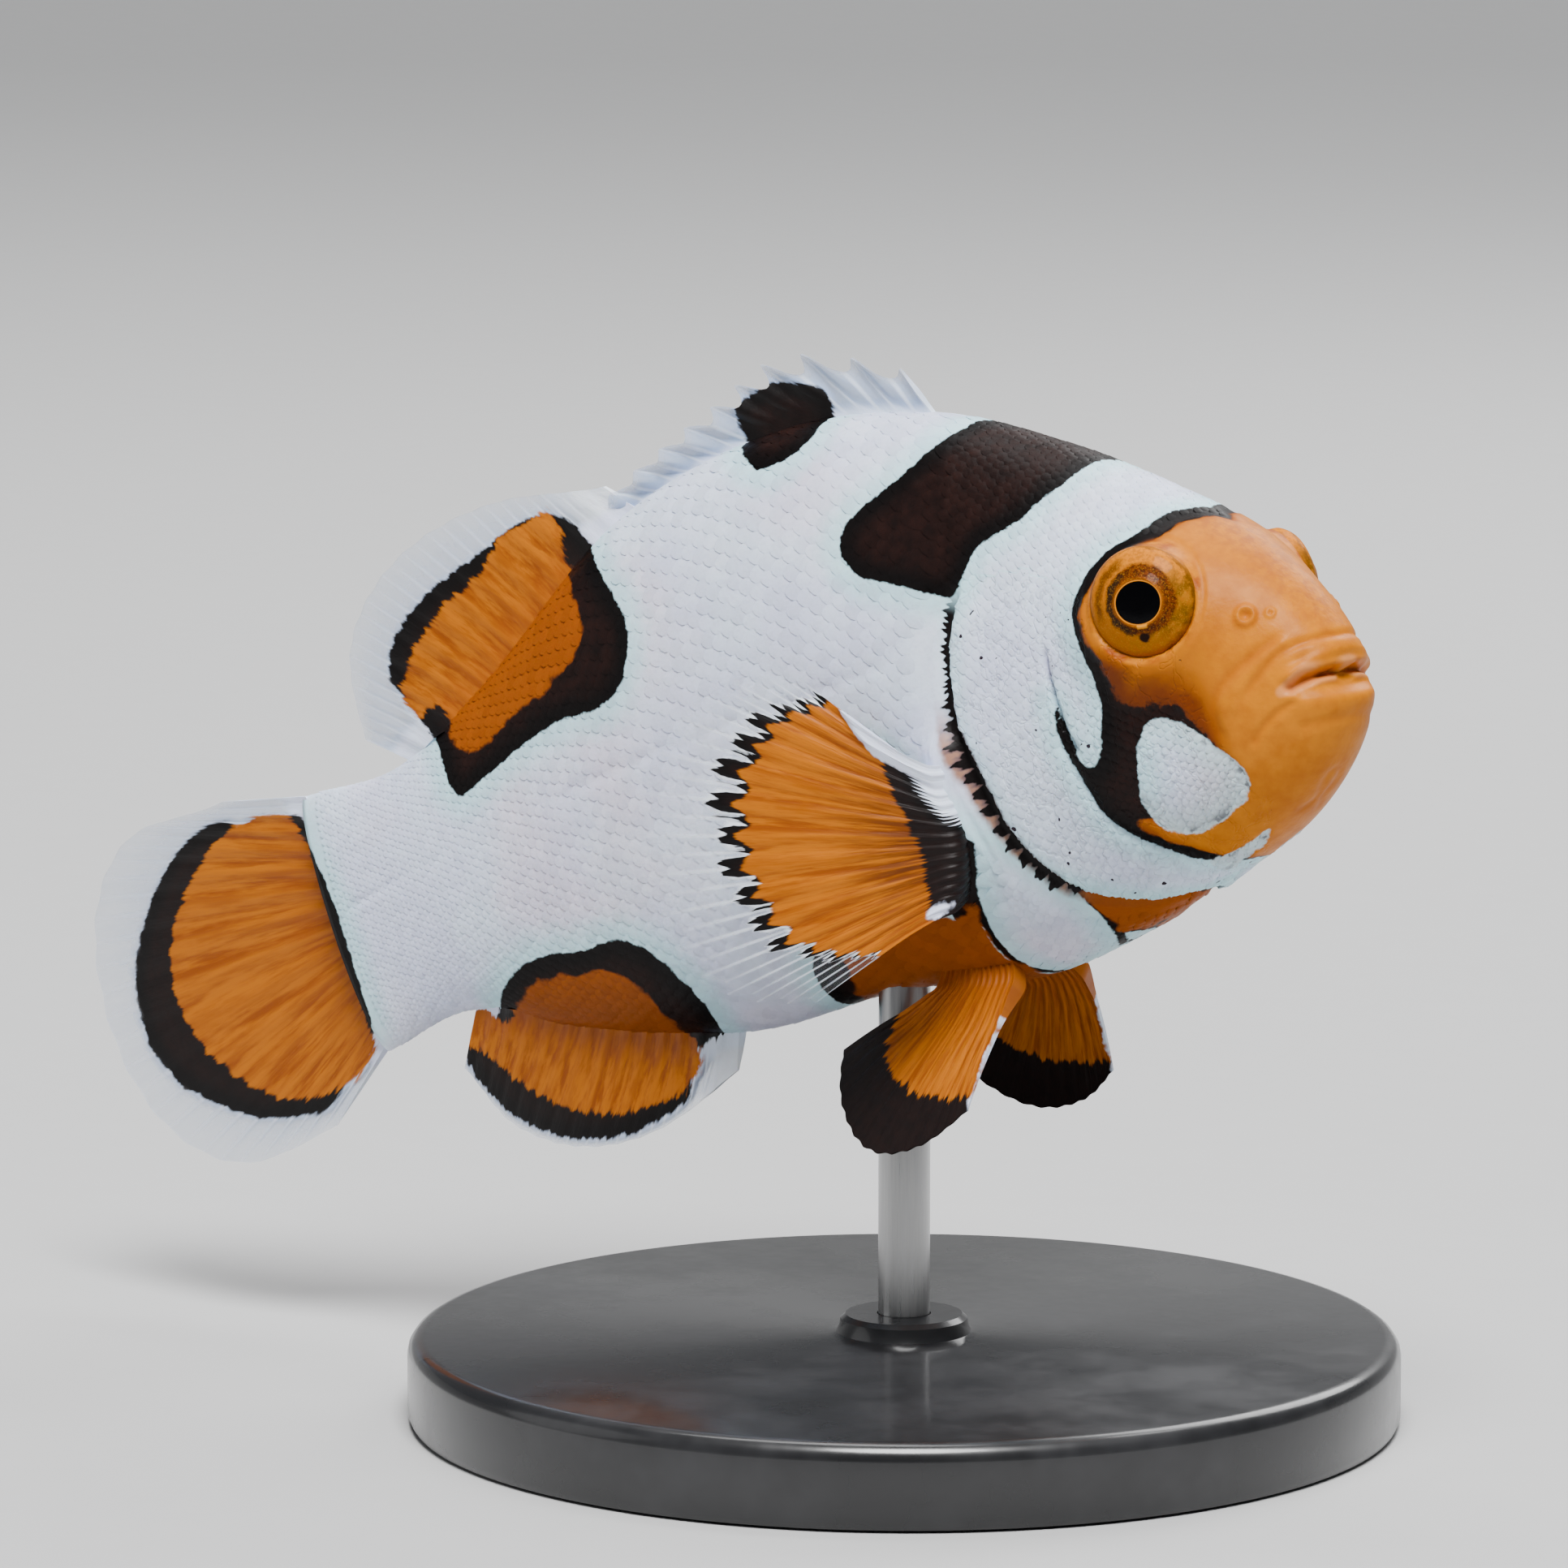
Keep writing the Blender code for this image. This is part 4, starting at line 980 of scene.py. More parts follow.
class Finish:
    """A material on one Principled shader, built from expressions on sockets."""

    def __init__(self, name):
        self.material = bpy.data.materials.new(name)
        self.material.use_nodes = True
        self.tree = self.material.node_tree
        self.tree.nodes.clear()
        self.shader = self.tree.nodes.new("ShaderNodeBsdfPrincipled")
        end = self.tree.nodes.new("ShaderNodeOutputMaterial")
        self.tree.links.new(self.shader.outputs[0], end.inputs["Surface"])
        self.place = self.node("ShaderNodeTexCoord", output="Object")

    def node(self, kind, settings=None, sockets=None, output=0):
        """A node of a kind; its settings are made first, then its sockets get values or links."""
        made = self.tree.nodes.new(kind)
        for key, value in (settings or {}).items():
            setattr(made, key, value)
        for key, value in (sockets or {}).items():
            if isinstance(value, Socket):
                self.tree.links.new(value.output, made.inputs[key])
            else:
                made.inputs[key].default_value = value
        return Socket(self, made.outputs[output])

    def math(self, operation, *values):
        return self.node("ShaderNodeMath", {"operation": operation}, dict(enumerate(values)))

    def step(self, low, high, value):
        """Smooth step from 0 at low to 1 at high; low may be above high."""
        return self.node("ShaderNodeMapRange", {"interpolation_type": "SMOOTHSTEP"},
                         {"Value": value, "From Min": low, "From Max": high})

    def mix(self, share, low, high, blend="MIX"):
        """Colour low, turned into high by share."""
        low, high = (v if isinstance(v, Socket) else (*v[:3], 1.0) for v in (low, high))
        return self.node("ShaderNodeMix", {"data_type": "RGBA", "blend_type": blend},
                         {0: share, 6: low, 7: high}, 2)

    def field(self, name):
        """A mesh attribute."""
        return self.node("ShaderNodeAttribute", {"attribute_name": name}, output="Fac")

    def noise(self, millimetres, detail=2.0, place=None, roughness=0.5):
        """Noise from 0 to 1 with clouds of about that size."""
        return self.node("ShaderNodeTexNoise", None,
                         {"Vector": place or self.place, "Scale": 1.0 / (millimetres * MM), "Detail": detail,
                          "Roughness": roughness})

    def cracks(self, millimetres, place=None):
        """Distance to the nearest edge of cells of about that size, 0 on the edge."""
        return self.node("ShaderNodeTexVoronoi", {"feature": "DISTANCE_TO_EDGE"},
                         {"Vector": place or self.place, "Scale": 1.0 / (millimetres * MM)})

    def bump(self, height, millimetres, strength=1.0):
        return self.node("ShaderNodeBump", None, {"Height": height, "Distance": millimetres * MM,
                                                  "Strength": strength})

    def surface(self, **values):
        """Values and links of the shader's sockets, named with underscores for spaces."""
        for key, value in values.items():
            target = self.shader.inputs[key.replace("_", " ")]
            if isinstance(value, Socket):
                self.tree.links.new(value.output, target)
            else:
                target.default_value = value
        return self.material


# Light enters skin and fins a little, red the furthest.
LIGHT_DEPTH = {"Subsurface_Weight": 0.08, "Subsurface_Radius": (1.0, 0.4, 0.2)}
# A random grey mottle for white skin, and painted shade for the creases of its wrinkles.
MOTTLE, WRINKLE_CREASE_SHADE = (0.52, 0.56, 0.68), (0.36, 0.39, 0.48)
# A warm grey for the cheek patch's front edge, partly its own tint and partly painted shade, and dark specks.
PATCH_EDGE_TINT_AND_SHADE, SPECK = (0.60, 0.47, 0.45), (0.03, 0.02, 0.03)
# Painted shade: on the gill flesh beside the gap, in the gill gap, and on the skin under the eyeball's edge.
GILL_SHADE, GILL_GAP_SHADE, SOCKET_CREVICE_SHADE = (0.10, 0.027, 0.012), (0.006, 0.004, 0.004), (0.125, 0.035, 0.0015)
# Tints that multiply the colour under them: painted shade in grooves of white and of orange skin, and a
# random tone for single scales.
GROOVE_SHADE_IN_WHITE, GROOVE_SHADE_IN_ORANGE, SCALE_TINT = (0.30, 0.27, 0.36), (0.74, 0.50, 0.34), (0.30, 0.30, 0.36)


def white_skin(f, colours, broad, fine, grain, on_head):
    """White in cool, lavender and pink clouds, turquoise beside the black, with mottling of two
    sizes, and on the head with wrinkles whose creases get painted shade, and specks. Also the height of the
    wrinkles."""
    on_patch = f.step(-0.05, 0.05, f.field("white"))
    white = f.mix(f.step(0.35, 0.65, broad), colours.white_cool, colours.white_lavender)
    white = f.mix(f.step(0.5, 0.72, f.noise(9.0, 2.0)) * (1 - on_head) * 0.55, white, colours.white_pink)
    near_black = f.math("MINIMUM", f.field("dark"), 0 - f.field("white"))
    halo = f.step(-1.9, -0.15, near_black + (fine - 0.5) * 0.9 + (broad - 0.5) * 0.8)
    white = f.mix(halo * 0.75, white, colours.halo)
    white = f.mix(f.step(-1.3, -0.1, 0 - abs(f.field("gill"))) * 0.5, white, colours.halo)
    # Wrinkles: cells whose edges wander and lean; the edges give the bump and are painted darker as shade in
    # the creases.
    wander = f.node("ShaderNodeTexNoise", None, {"Vector": f.place, "Scale": 1400.0, "Detail": 2.0}, "Color")
    warped = f.node("ShaderNodeVectorMath", {"operation": "MULTIPLY_ADD"},
                    {0: wander, 1: (0.0016,) * 3, 2: f.place})
    leaning = f.node("ShaderNodeMapping", None,
                     {"Vector": warped, "Rotation": (0.0, 0.5, 0.0), "Scale": (1.3, 1.0, 0.55)})
    crack = f.cracks(1.3, leaning)
    crease_shade = f.step(0.05, 0.0, crack) * on_head * f.step(0.46, 0.66, f.noise(1.6, 2.0))
    mottle = f.step(0.35, 0.75, fine) * 0.5 + f.step(0.45, 0.75, grain) * 0.4
    white = f.mix(mottle * 0.42, white, MOTTLE)
    white = f.mix(crease_shade * 0.5, white, WRINKLE_CREASE_SHADE)
    # Specks over the head, thickest along the front edge of the cheek patch.
    speck = f.step(0.805, 0.825, f.noise(0.42, 0.0)) * on_head * (1 - on_patch)
    forward = f.step(-2.2, 0.3, f.field("face")) * on_patch
    speck = speck + f.step(0.55, 0.63, fine) * forward * f.step(0.5, 0.1, f.field("white")) * 0.7
    # The cheek patch's front edge is mixed towards warm grey: partly its own tint beside the orange, partly
    # painted shade where the light falls off.
    white = f.mix(forward * 0.4, white, PATCH_EDGE_TINT_AND_SHADE)
    return f.mix(speck, white, SPECK), f.step(0.0, 0.08, crack) * on_head


def gill_opening(f, colours, colour, fine):
    """The colour with the gap behind the gill cover painted near-black as shade, and flesh whose front edge
    is toothed, with painted shade on the flesh next to the gap.
    """
    gill, along = f.field("gill"), f.field("along")
    low = f.step(5.4, 7.6, along)
    shaken = along + (fine - 0.5) * 0.5
    tooth = f.math("SINE", shaken * 7.6) * 0.5 + 0.5
    hair = f.math("SINE", shaken * 21.0) * 0.5 + 0.5
    gap = 0.60 + tooth * (0.12 + low * 0.36) + hair * 0.2 + (f.noise(1.3, 2.0) - 0.5) * 0.5
    gap = gap * (1 - f.step(15.0, 17.5, along) * 0.8)
    here = f.step(0.7, 2.0, along) * f.step(23.0, 18.5, along)
    low = low * f.step(17.2, 15.4, along)
    reach = 1.45 - f.step(9.0, 15.0, along) * 0.35
    flesh = f.step(0.3, 0.0, gill) * f.step(-0.1, 0.35, gill + reach + (fine - 0.5) * 0.5) * low * here
    shaded = f.step(-0.35, -0.05, 0 - gill - gap - 0.35)
    colour = f.mix(flesh * 0.9, colour, f.mix(shaded, GILL_SHADE, colours.flesh))
    # The gap itself is painted near-black as shade.
    opening = f.step(0.06, -0.02, gill) * f.step(0.05, -0.05, 0 - gill - gap) * here
    return f.mix(opening, colour, GILL_GAP_SHADE)


def skin_finish(name, colours, coat):
    """White, black-brown and orange skin: each border is a signed distance, roughened by noise."""
    f = Finish(name)
    broad, fine, grain = f.noise(5.5, 3.0), f.noise(0.75, 3.0), f.noise(0.2, 2.0)
    rough_edge = (fine - 0.5) * 0.34 + (grain - 0.5) * 0.14
    dark, face, soft = f.field("dark"), f.field("face"), f.field("soft")
    on_head = f.step(-0.2, 0.2, f.field("gill"))
    white, wrinkles = white_skin(f, colours, broad, fine, grain, on_head)
    # Black-brown: black at its borders, brown in the middle of a broad patch.
    deep = f.step(0.3, 1.5, dark) * (0.55 + (fine - 0.5) * 1.4)
    black = f.mix(deep, colours.black, colours.brown)
    # Orange: brightest on the face; darker off it, partly a deeper tone and partly painted shade of the
    # throat and belly; pink-brown speckle over the brow.
    amber = f.mix(f.step(-0.3, 0.6, face), colours.orange_flank_tone_and_shade, colours.orange_face)
    amber = f.mix(f.step(0.3, 0.75, fine * 0.5 + broad * 0.5) * 0.55, amber, colours.orange_deep)
    speckle = f.step(0.42, 0.62, f.noise(0.35, 3.0)) * f.field("brow")
    amber = f.mix(speckle * 0.5, amber, colours.brow)
    # The lips' rims are painted pale pink: partly their own colour and partly a painted highlight.
    amber = f.mix(f.step(0.30, 0.08, f.field("lip")) * 0.75, amber, colours.lip)

    colour = f.mix(f.step(-0.06, 0.06, dark + rough_edge), white, black)
    amber = f.mix(f.step(2.7, 0.3, face + (fine - 0.5) * 1.2) * soft, amber, colours.rust)
    ripple = (f.noise(1.7, 2.0) - 0.5) * f.step(3.0, 1.0, f.field("mask")) * (1 - soft) * 1.3
    border = f.step(-0.10, 0.16, f.field("orange") + rough_edge * (1.2 + soft * 2.0) + ripple)
    colour = f.mix(border, colour, amber)
    colour = f.mix(f.step(-0.07, 0.05, f.field("white") + rough_edge), colour, white)

    colour = gill_opening(f, colours, colour, fine)

    # Grooves and nostrils get painted shade, and the ring round the eye is clear amber.
    shade = f.mix(f.step(-0.2, 0.4, face), GROOVE_SHADE_IN_WHITE, GROOVE_SHADE_IN_ORANGE)
    colour = f.mix(f.field("fold") * 0.85, colour, shade, "MULTIPLY")
    eye = f.field("eye")
    ring = f.mix(f.step(0.35, 0.7, fine), colours.orange_face, colours.orange_deep)
    colour = f.mix(f.step(2.85, 2.6, eye) * f.step(-0.5, 0.1, face), colour, ring)
    # The skin under the eyeball's edge is painted dark as shade in the crevice between ball and socket.
    colour = f.mix(f.step(2.42, 2.30, eye) * 0.8, colour, SOCKET_CREVICE_SHADE)
    if coat:
        colour = f.mix(f.field("tone") * 0.22 + 0.08, colour, SCALE_TINT, "MULTIPLY")
    relief = fine * 0.5 + grain * 0.3 + wrinkles * 0.4
    return f.surface(Base_Color=colour, Roughness=0.44 + (fine - 0.5) * 0.25,
                     Normal=f.bump(relief, 0.06, 0.8), Subsurface_Scale=0.0004, Specular_IOR_Level=0.11,
                     Coat_Weight=0.024, Coat_Roughness=0.3, **LIGHT_DEPTH)


# Iris: from below to above, its flecks, the olive in front, the back's tint, its dark arc and the rim.
IRIS_LOW, IRIS_HIGH, IRIS_FLECK = (0.312, 0.113, 0.0008), (0.608, 0.183, 0.0008), (0.359, 0.098, 0.0008)
IRIS_OLIVE, IRIS_BACK, IRIS_ARC = (0.101, 0.045, 0.0016), (0.359, 0.094, 0.0008), (0.086, 0.025, 0.0008)
RUST_DARK, RUST_LIGHT, CRESCENT = (0.058, 0.012, 0.0008), (0.133, 0.027, 0.0008), (0.016, 0.0086, 0.0023)
INNER_RING, GLITTER, OUTER_RIM = (0.343, 0.09, 0.0008), (0.624, 0.265, 0.016), (0.078, 0.027, 0.0008)
BLOT, TAB, PUPIL_RIM, PUPIL = ((0.012, 0.0031, 0.0008), (0.741, 0.281, 0.0078), (0.624, 0.203, 0.0078),
                               (0.0008, 0.0008, 0.0012))


def eye_finish(sizes):
    """Black oval pupil in a bright thin rim, then a rust ring with a dark crescent behind it, in an
    iris that is bright amber above, yellow below and olive in front. Under the pupil sit a dark
    blot and a bright tab."""
    f = Finish("clownfish_eye")
    r, up, back = f.field("eye"), f.field("eye_up"), f.field("eye_across")
    rise, rear = up / (r + 0.01), back / (r + 0.01)
    pupil = sizes.pupil_radius / MM
    oval = f.math("SQRT", back * back + up * up * 1.22)
    mottle, fine, grain = f.noise(0.5, 4.0), f.noise(0.16, 3.0), f.noise(0.07, 2.0)
    shaken = r + (mottle - 0.5) * 0.45 + (fine - 0.5) * 0.14

    def band(radius, edge, middle):
        return f.step(edge, middle, abs(shaken - radius))

    iris = f.mix(f.step(-0.3, 0.55, rise), IRIS_LOW, IRIS_HIGH)
    iris = f.mix(f.step(0.44, 0.62, fine) * 0.6, iris, IRIS_FLECK)
    olive = f.step(0.25, 0.8, 0 - rear) * f.step(0.75, 0.3, rise) * f.step(0.3, 0.6, mottle)
    iris = f.mix(olive * 0.8, iris, IRIS_OLIVE)
    iris = f.mix(f.step(0.2, 0.8, rear) * 0.5, iris, IRIS_BACK)
    arc = f.step(0.1, 0.5, rear) * f.step(-0.45, 0.0, rise) * band(1.95, 0.30, 0.05)
    iris = f.mix(arc * 0.85, iris, IRIS_ARC)
    rust = f.mix(f.step(0.38, 0.62, fine), RUST_DARK, RUST_LIGHT)
    iris = f.mix(f.step(1.72, 1.48, shaken + rear * 0.12 - rise * 0.10), iris, rust)
    iris = f.mix(f.step(0.15, 0.6, rear) * band(1.40, 0.26, 0.06) * 0.9, iris, CRESCENT)
    iris = f.mix(f.step(1.30, 1.12, oval + (mottle - 0.5) * 0.2) * 0.65, iris, INNER_RING)
    iris = f.mix(f.step(0.5, 0.7, grain) * 0.25, iris, GLITTER)
    iris = f.mix(band(2.44, 0.10, 0.02) * 0.5, iris, OUTER_RIM)
    blot = f.math("SQRT", back * back + (up + 1.56) * (up + 1.56) * 1.6)
    iris = f.mix(f.step(0.34, 0.18, blot + (fine - 0.5) * 0.2), iris, BLOT)
    tab = f.step(0.28, 0.20, abs(back)) * f.step(-0.90, -0.96, up) * f.step(-1.20, -1.12, up)
    iris = f.mix(tab, iris, TAB)
    iris = f.mix(f.step(pupil + 0.075, pupil + 0.04, oval), iris, PUPIL_RIM)
    colour = f.mix(f.step(pupil + 0.02, pupil - 0.01, oval), iris, PUPIL)
    return f.surface(Base_Color=colour, Roughness=0.30 + f.step(pupil, pupil + 0.1, r) * 0.25,
                     Normal=f.bump(mottle * 0.5 + fine * 0.5, 0.05, 0.4), Coat_Weight=0.055,
                     Coat_Roughness=0.03, Specular_IOR_Level=0.05)


FIN_SHADE = (0.078, 0.017, 0.0015)


def fin_finish(name, colours):
    """Rays and web: streaks of orange along the rays, black beyond, then a clear film or fine clear
    hairs. Skin and colour cover the fin fully, and the film is see-through."""
    f = Finish(name)
    dark, orange, cover = f.field("dark"), f.field("orange"), f.field("cover")
    phase, out, film = f.field("phase"), f.field("out"), f.field("film")
    fine, broad = f.noise(0.6, 3.0), f.noise(4.0, 2.0)
    # Streaks: noise drawn out along the rays.
    along = f.node("ShaderNodeCombineXYZ", None, {"X": phase * 3.2, "Y": out * 3.0, "Z": 0.0})
    streak = f.node("ShaderNodeTexNoise", None,
                    {"Vector": along, "Scale": 1.0, "Detail": 4.0, "Roughness": 0.6})
    ray = f.step(0.8, 0.0, f.math("PINGPONG", phase, 0.5) * 2)
    hair = f.step(0.36, 0.05, f.math("PINGPONG", phase * 2, 0.5) * 2)

    amber = f.mix(f.step(0.36, 0.62, streak), colours.orange_fin_deep, colours.orange_fin)
    amber = f.mix(f.step(0.2, 0.75, ray) * 0.35, amber, colours.orange_fin)
    amber = f.mix(f.step(0.30, -0.05, out) * 0.45, amber, colours.orange_deep)
    amber = f.mix(f.field("shade") * f.step(0.72, 0.40, streak) * 0.85, amber, FIN_SHADE)
    white = f.mix(f.step(0.3, 0.7, broad), colours.white_cool, colours.white_lavender)
    clear = f.mix(film, colours.fin_ray, colours.fin_clear)
    clear = f.mix(hair * 0.5, clear, colours.fin_ray)
    clear = f.mix(f.step(0.32, 0.04, out), clear, white)
    black = f.mix(f.step(0.4, 1.2, dark) * (fine * 0.6), colours.black, colours.brown)
    ragged = (streak - 0.5) * 1.3
    loose = f.step(0.6, 0.1, film)
    # Small black prongs along the edge where the rays end free.
    prong = (0.22 - f.math("PINGPONG", phase * 3.0 + streak * 1.2, 0.5)) * loose * 1.5
    edge = dark + ragged * 0.6 + prong
    cover = f.math("MAXIMUM", cover, f.step(-0.12, 0.05, edge) * loose)
    colour = f.mix(f.step(-0.08, 0.10, edge), clear, black)
    colour = f.mix(f.step(-0.10, 0.16, orange + ragged), colour, amber)
    colour = f.mix(f.step(-0.1, 0.15, f.field("white") + (fine - 0.5) * 0.9), colour, white)
    fade = f.step(1.0, 0.72, out)
    see = 0.02 + hair * (0.06 + fade * 0.36) + film * (0.26 + fade * 0.22 + (streak - 0.5) * 0.3)
    alpha = f.math("MINIMUM", cover + (1 - cover) * see, 1.0)
    return f.surface(Base_Color=colour, Roughness=0.45 + (fine - 0.5) * 0.2, Alpha=alpha,
                     Normal=f.bump(ray * 0.5 + streak * 0.9 + fine * 0.2, 0.07, 0.8),
                     Subsurface_Scale=0.0003, Specular_IOR_Level=0.17, Coat_Weight=0.04, Coat_Roughness=0.3,
                     **LIGHT_DEPTH)


def lacquer_finish():
    """Satin black lacquer with fine orange-peel and a few dull rubs."""
    f = Finish("stand_lacquer_black")
    peel, rub = f.noise(0.8, 2.0), f.noise(9.0, 4.0, roughness=0.65)
    colour = f.mix(f.step(0.45, 0.7, rub), (0.010, 0.010, 0.011), (0.022, 0.022, 0.024))
    return f.surface(Base_Color=colour, Roughness=0.26 + f.step(0.4, 0.75, rub) * 0.16,
                     Normal=f.bump(peel, 0.012, 0.5), Coat_Weight=0.4, Coat_Roughness=0.12,
                     Specular_IOR_Level=0.45)


def steel_finish():
    """Brushed stainless steel: long streaks along the rod."""
    f = Finish("stand_steel_brushed")
    stretched = f.node("ShaderNodeMapping", None, {"Vector": f.place, "Scale": (1.0, 1.0, 0.04)})
    streak, cloud = f.noise(0.12, 3.0, stretched), f.noise(4.0, 2.0)
    colour = f.mix(streak, (0.36, 0.36, 0.37), (0.54, 0.54, 0.53))
    return f.surface(Base_Color=colour, Metallic=1.0, Roughness=0.20 + streak * 0.14 + cloud * 0.06,
                     Normal=f.bump(streak, 0.006, 0.5))


def floor_finish(colours):
    """Plain pale matt paper with the faintest tooth."""
    f = Finish("studio_floor")
    tooth = f.noise(3.0, 3.0)
    colour = f.mix(tooth, colours.floor, tuple(c * 0.97 for c in colours.floor))
    return f.surface(Base_Color=colour, Roughness=0.8 + tooth * 0.1, Specular_IOR_Level=0.2)


# ---------------------------------------------------------------------------
# Settings, operators and panel
# ---------------------------------------------------------------------------

def length(name, description, metres):
    return bpy.props.FloatProperty(name=name, description=description, default=metres, min=0.0, unit="LENGTH",
                                   precision=5)


def number(name, description, count):
    return bpy.props.IntProperty(name=name, description=description, default=count, min=20)


def colour(name, description, value):
    return bpy.props.FloatVectorProperty(name=name, description=description, default=value, size=3, min=0.0,
                                         max=1.0, subtype="COLOR")


class ClownfishSizes(bpy.types.PropertyGroup):
    """Sizes a user would change."""
    coat_depth: length("Coat depth", "How far the skin lies inside the solids", 0.00012)
    scale_lift: length("Scale lift", "Height of a scale's rear edge over the skin", 0.00006)
    head_scales: number("Head scales", "Scales round the head", 104)
    trunk_scales: number("Trunk scales", "Scales round the trunk", 76)
    pupil_radius: length("Pupil radius", "Radius of the pupil", 0.00104)
    fin_thickness: length("Fin thickness", "Thickness of a fin on its rays", 0.00026)
    lens: bpy.props.FloatProperty(name="Lens", description="Focal length of the camera in millimetres",
                                  default=187.2, min=10.0)


class ClownfishColours(bpy.types.PropertyGroup):
    """Colours a user would change."""
    white_cool: colour("Cool white", "Clean white skin", (0.77, 0.86, 1.0))
    white_lavender: colour("Lavender white", "White skin in soft clouds", (0.73, 0.77, 0.96))
    white_pink: colour("Pink white", "White skin with flesh showing through", (0.84, 0.72, 0.82))
    halo: colour("Halo", "Turquoise tint of white beside black", (0.50, 0.86, 0.90))
    black: colour("Black", "Borders of the dark markings", (0.003, 0.002, 0.002))
    brown: colour("Brown", "Middle of the dark markings", (0.019, 0.0062, 0.0046))
    orange_face: colour("Face orange", "Snout and cheeks", (0.60, 0.19, 0.0002))
    # Orange off the face: partly a deeper tone and partly painted shade of the throat and belly.
    orange_flank_tone_and_shade: colour("Flank orange", "Patches on the flank", (0.30, 0.066, 0.0002))
    orange_deep: colour("Deep orange", "Shaded and redder orange", (0.31, 0.061, 0.0002))
    rust: colour("Rust", "Red-brown skin under the eye", (0.15, 0.028, 0.001))
    brow: colour("Brow", "Pink-brown speckle over the brow", (0.33, 0.086, 0.016))
    # Pale pink of the lips' rims: partly their own colour and partly a painted highlight.
    lip: colour("Lip", "Pale edge of the lips", (0.68, 0.27, 0.088))
    flesh: colour("Gill flesh", "Toothed flesh behind the gill cover", (0.31, 0.12, 0.04))
    orange_fin: colour("Fin orange", "Rays of the fins", (0.47, 0.13, 0.0002))
    orange_fin_deep: colour("Fin web orange", "Web between the rays", (0.265, 0.056, 0.0002))
    fin_clear: colour("Clear web", "Clear margin of the fins", (0.36, 0.46, 0.66))
    fin_ray: colour("Clear ray", "Rays in the clear margin", (0.80, 0.85, 0.93))
    floor: colour("Floor", "Studio floor", (0.54, 0.54, 0.54))


class CLOWNFISH_OT_skin(bpy.types.Operator):
    """Add the one skin of head, trunk and tail stalk"""
    bl_idname = "clownfish.add_skin"
    bl_label = "Add skin"

    def execute(self, context):
        sizes, colours = context.scene.clownfish_sizes, context.scene.clownfish_colours
        build_skin(sizes.coat_depth / MM, skin_finish("clownfish_skin", colours, False))
        return {"FINISHED"}


class CLOWNFISH_OT_coat(bpy.types.Operator):
    """Add the scales over head and trunk"""
    bl_idname = "clownfish.add_coat"
    bl_label = "Add scales"

    def execute(self, context):
        sizes, colours = context.scene.clownfish_sizes, context.scene.clownfish_colours
        build_coat(sizes.coat_depth / MM, sizes, skin_finish("clownfish_scales", colours, True))
        return {"FINISHED"}


class CLOWNFISH_OT_eyes(bpy.types.Operator):
    """Add both eyes"""
    bl_idname = "clownfish.add_eyes"
    bl_label = "Add eyes"

    def execute(self, context):
        sizes = context.scene.clownfish_sizes
        finish = eye_finish(sizes)
        build_eye("eye_right", -1.0, sizes, finish)
        build_eye("eye_left", 1.0, sizes, finish)
        return {"FINISHED"}


class CLOWNFISH_OT_median_fins(bpy.types.Operator):
    """Add the dorsal, anal and tail fins"""
    bl_idname = "clownfish.add_median_fins"
    bl_label = "Add median fins"

    def execute(self, context):
        sizes = context.scene.clownfish_sizes
        finish = fin_finish("clownfish_median_fins", context.scene.clownfish_colours)
        build_median_fin("dorsal_fin_spiny", root_line(21.4, 38.6, 0, -0.25), [60, 46, 36, 28, 24],
                         [2.9, 5.1, 3.7, 2.5, 1.9], 11, 0.30, 0.4, sizes, finish, crumple=0.22, inner=0.4,
                         root=0.34, slot="fin_clear")
        build_median_fin("dorsal_fin_soft", root_line(38.0, 53.6, 0, FIN_ROOT_GAP), [44, 54, 52, 46, 38],
                         [1.5, 5.0, 7.3, 6.4, 2.2], 15, 0.012, 0.4, sizes, finish, root=0.75, sheath=2.4)
        build_median_fin("anal_fin", root_line(39.2, 54.0, 1, -FIN_ROOT_GAP), [-64, -54, -48, -44, -50],
                         [1.4, 4.6, 5.8, 5.3, 2.6], 15, 0.012, -0.3, sizes, finish, root=0.7, sheath=1.7,
                         carry=-0.45)
        level = np.linspace(6.4, -6.7, 7)
        build_median_fin("tail_fin", np.stack([np.full(7, STANDARD_LENGTH + FIN_ROOT_GAP), level], -1),
                         [17, 21, 15, 3, -11, -22, -27], [5.2, 12.3, 16.2, 17.0, 15.4, 11.5, 5.0], 15, 0.01,
                         0.5, sizes, finish, inner=0.12, root=0.5)
        return {"FINISHED"}


# Each paired fin: its place (u, z, y), roots in its plane, ray angles, ray lengths, rays, notch, cup
# and the points (u, z, y) of the body where its lobe begins.
PECTORAL = ((21.0, -4.8, 6.75),
            [(-0.2, 2.9), (-0.6, 1.2), (-0.7, -0.6), (-0.3, -2.3), (0.4, -3.8)],
            [46, 30, 8, -12, -24], [7.0, 12.4, 14.0, 12.0, 6.8], 16, 0.05, 2.2,
            [(20.3, -1.9, 5.3), (20.3, -3.3, 5.2), (20.5, -4.8, 4.9), (20.8, -6.2, 4.5), (21.4, -7.4, 4.2)])
PELVIC = ((23.2, -11.6, 2.3),
          [(1.0, -2.2), (0.9, -1.0), (0.8, 0.2), (0.7, 1.4), (0.6, 2.5)],
          [19, 25, 35, 50, 70], [6.0, 7.9, 8.6, 7.4, 5.3], 14, 0.012, 0.8,
          [(21.4, -10.8, 1.6), (22.4, -10.9, 1.7), (23.4, -10.9, 1.7), (24.4, -10.8, 1.6),
           (25.3, -10.6, 1.5)])
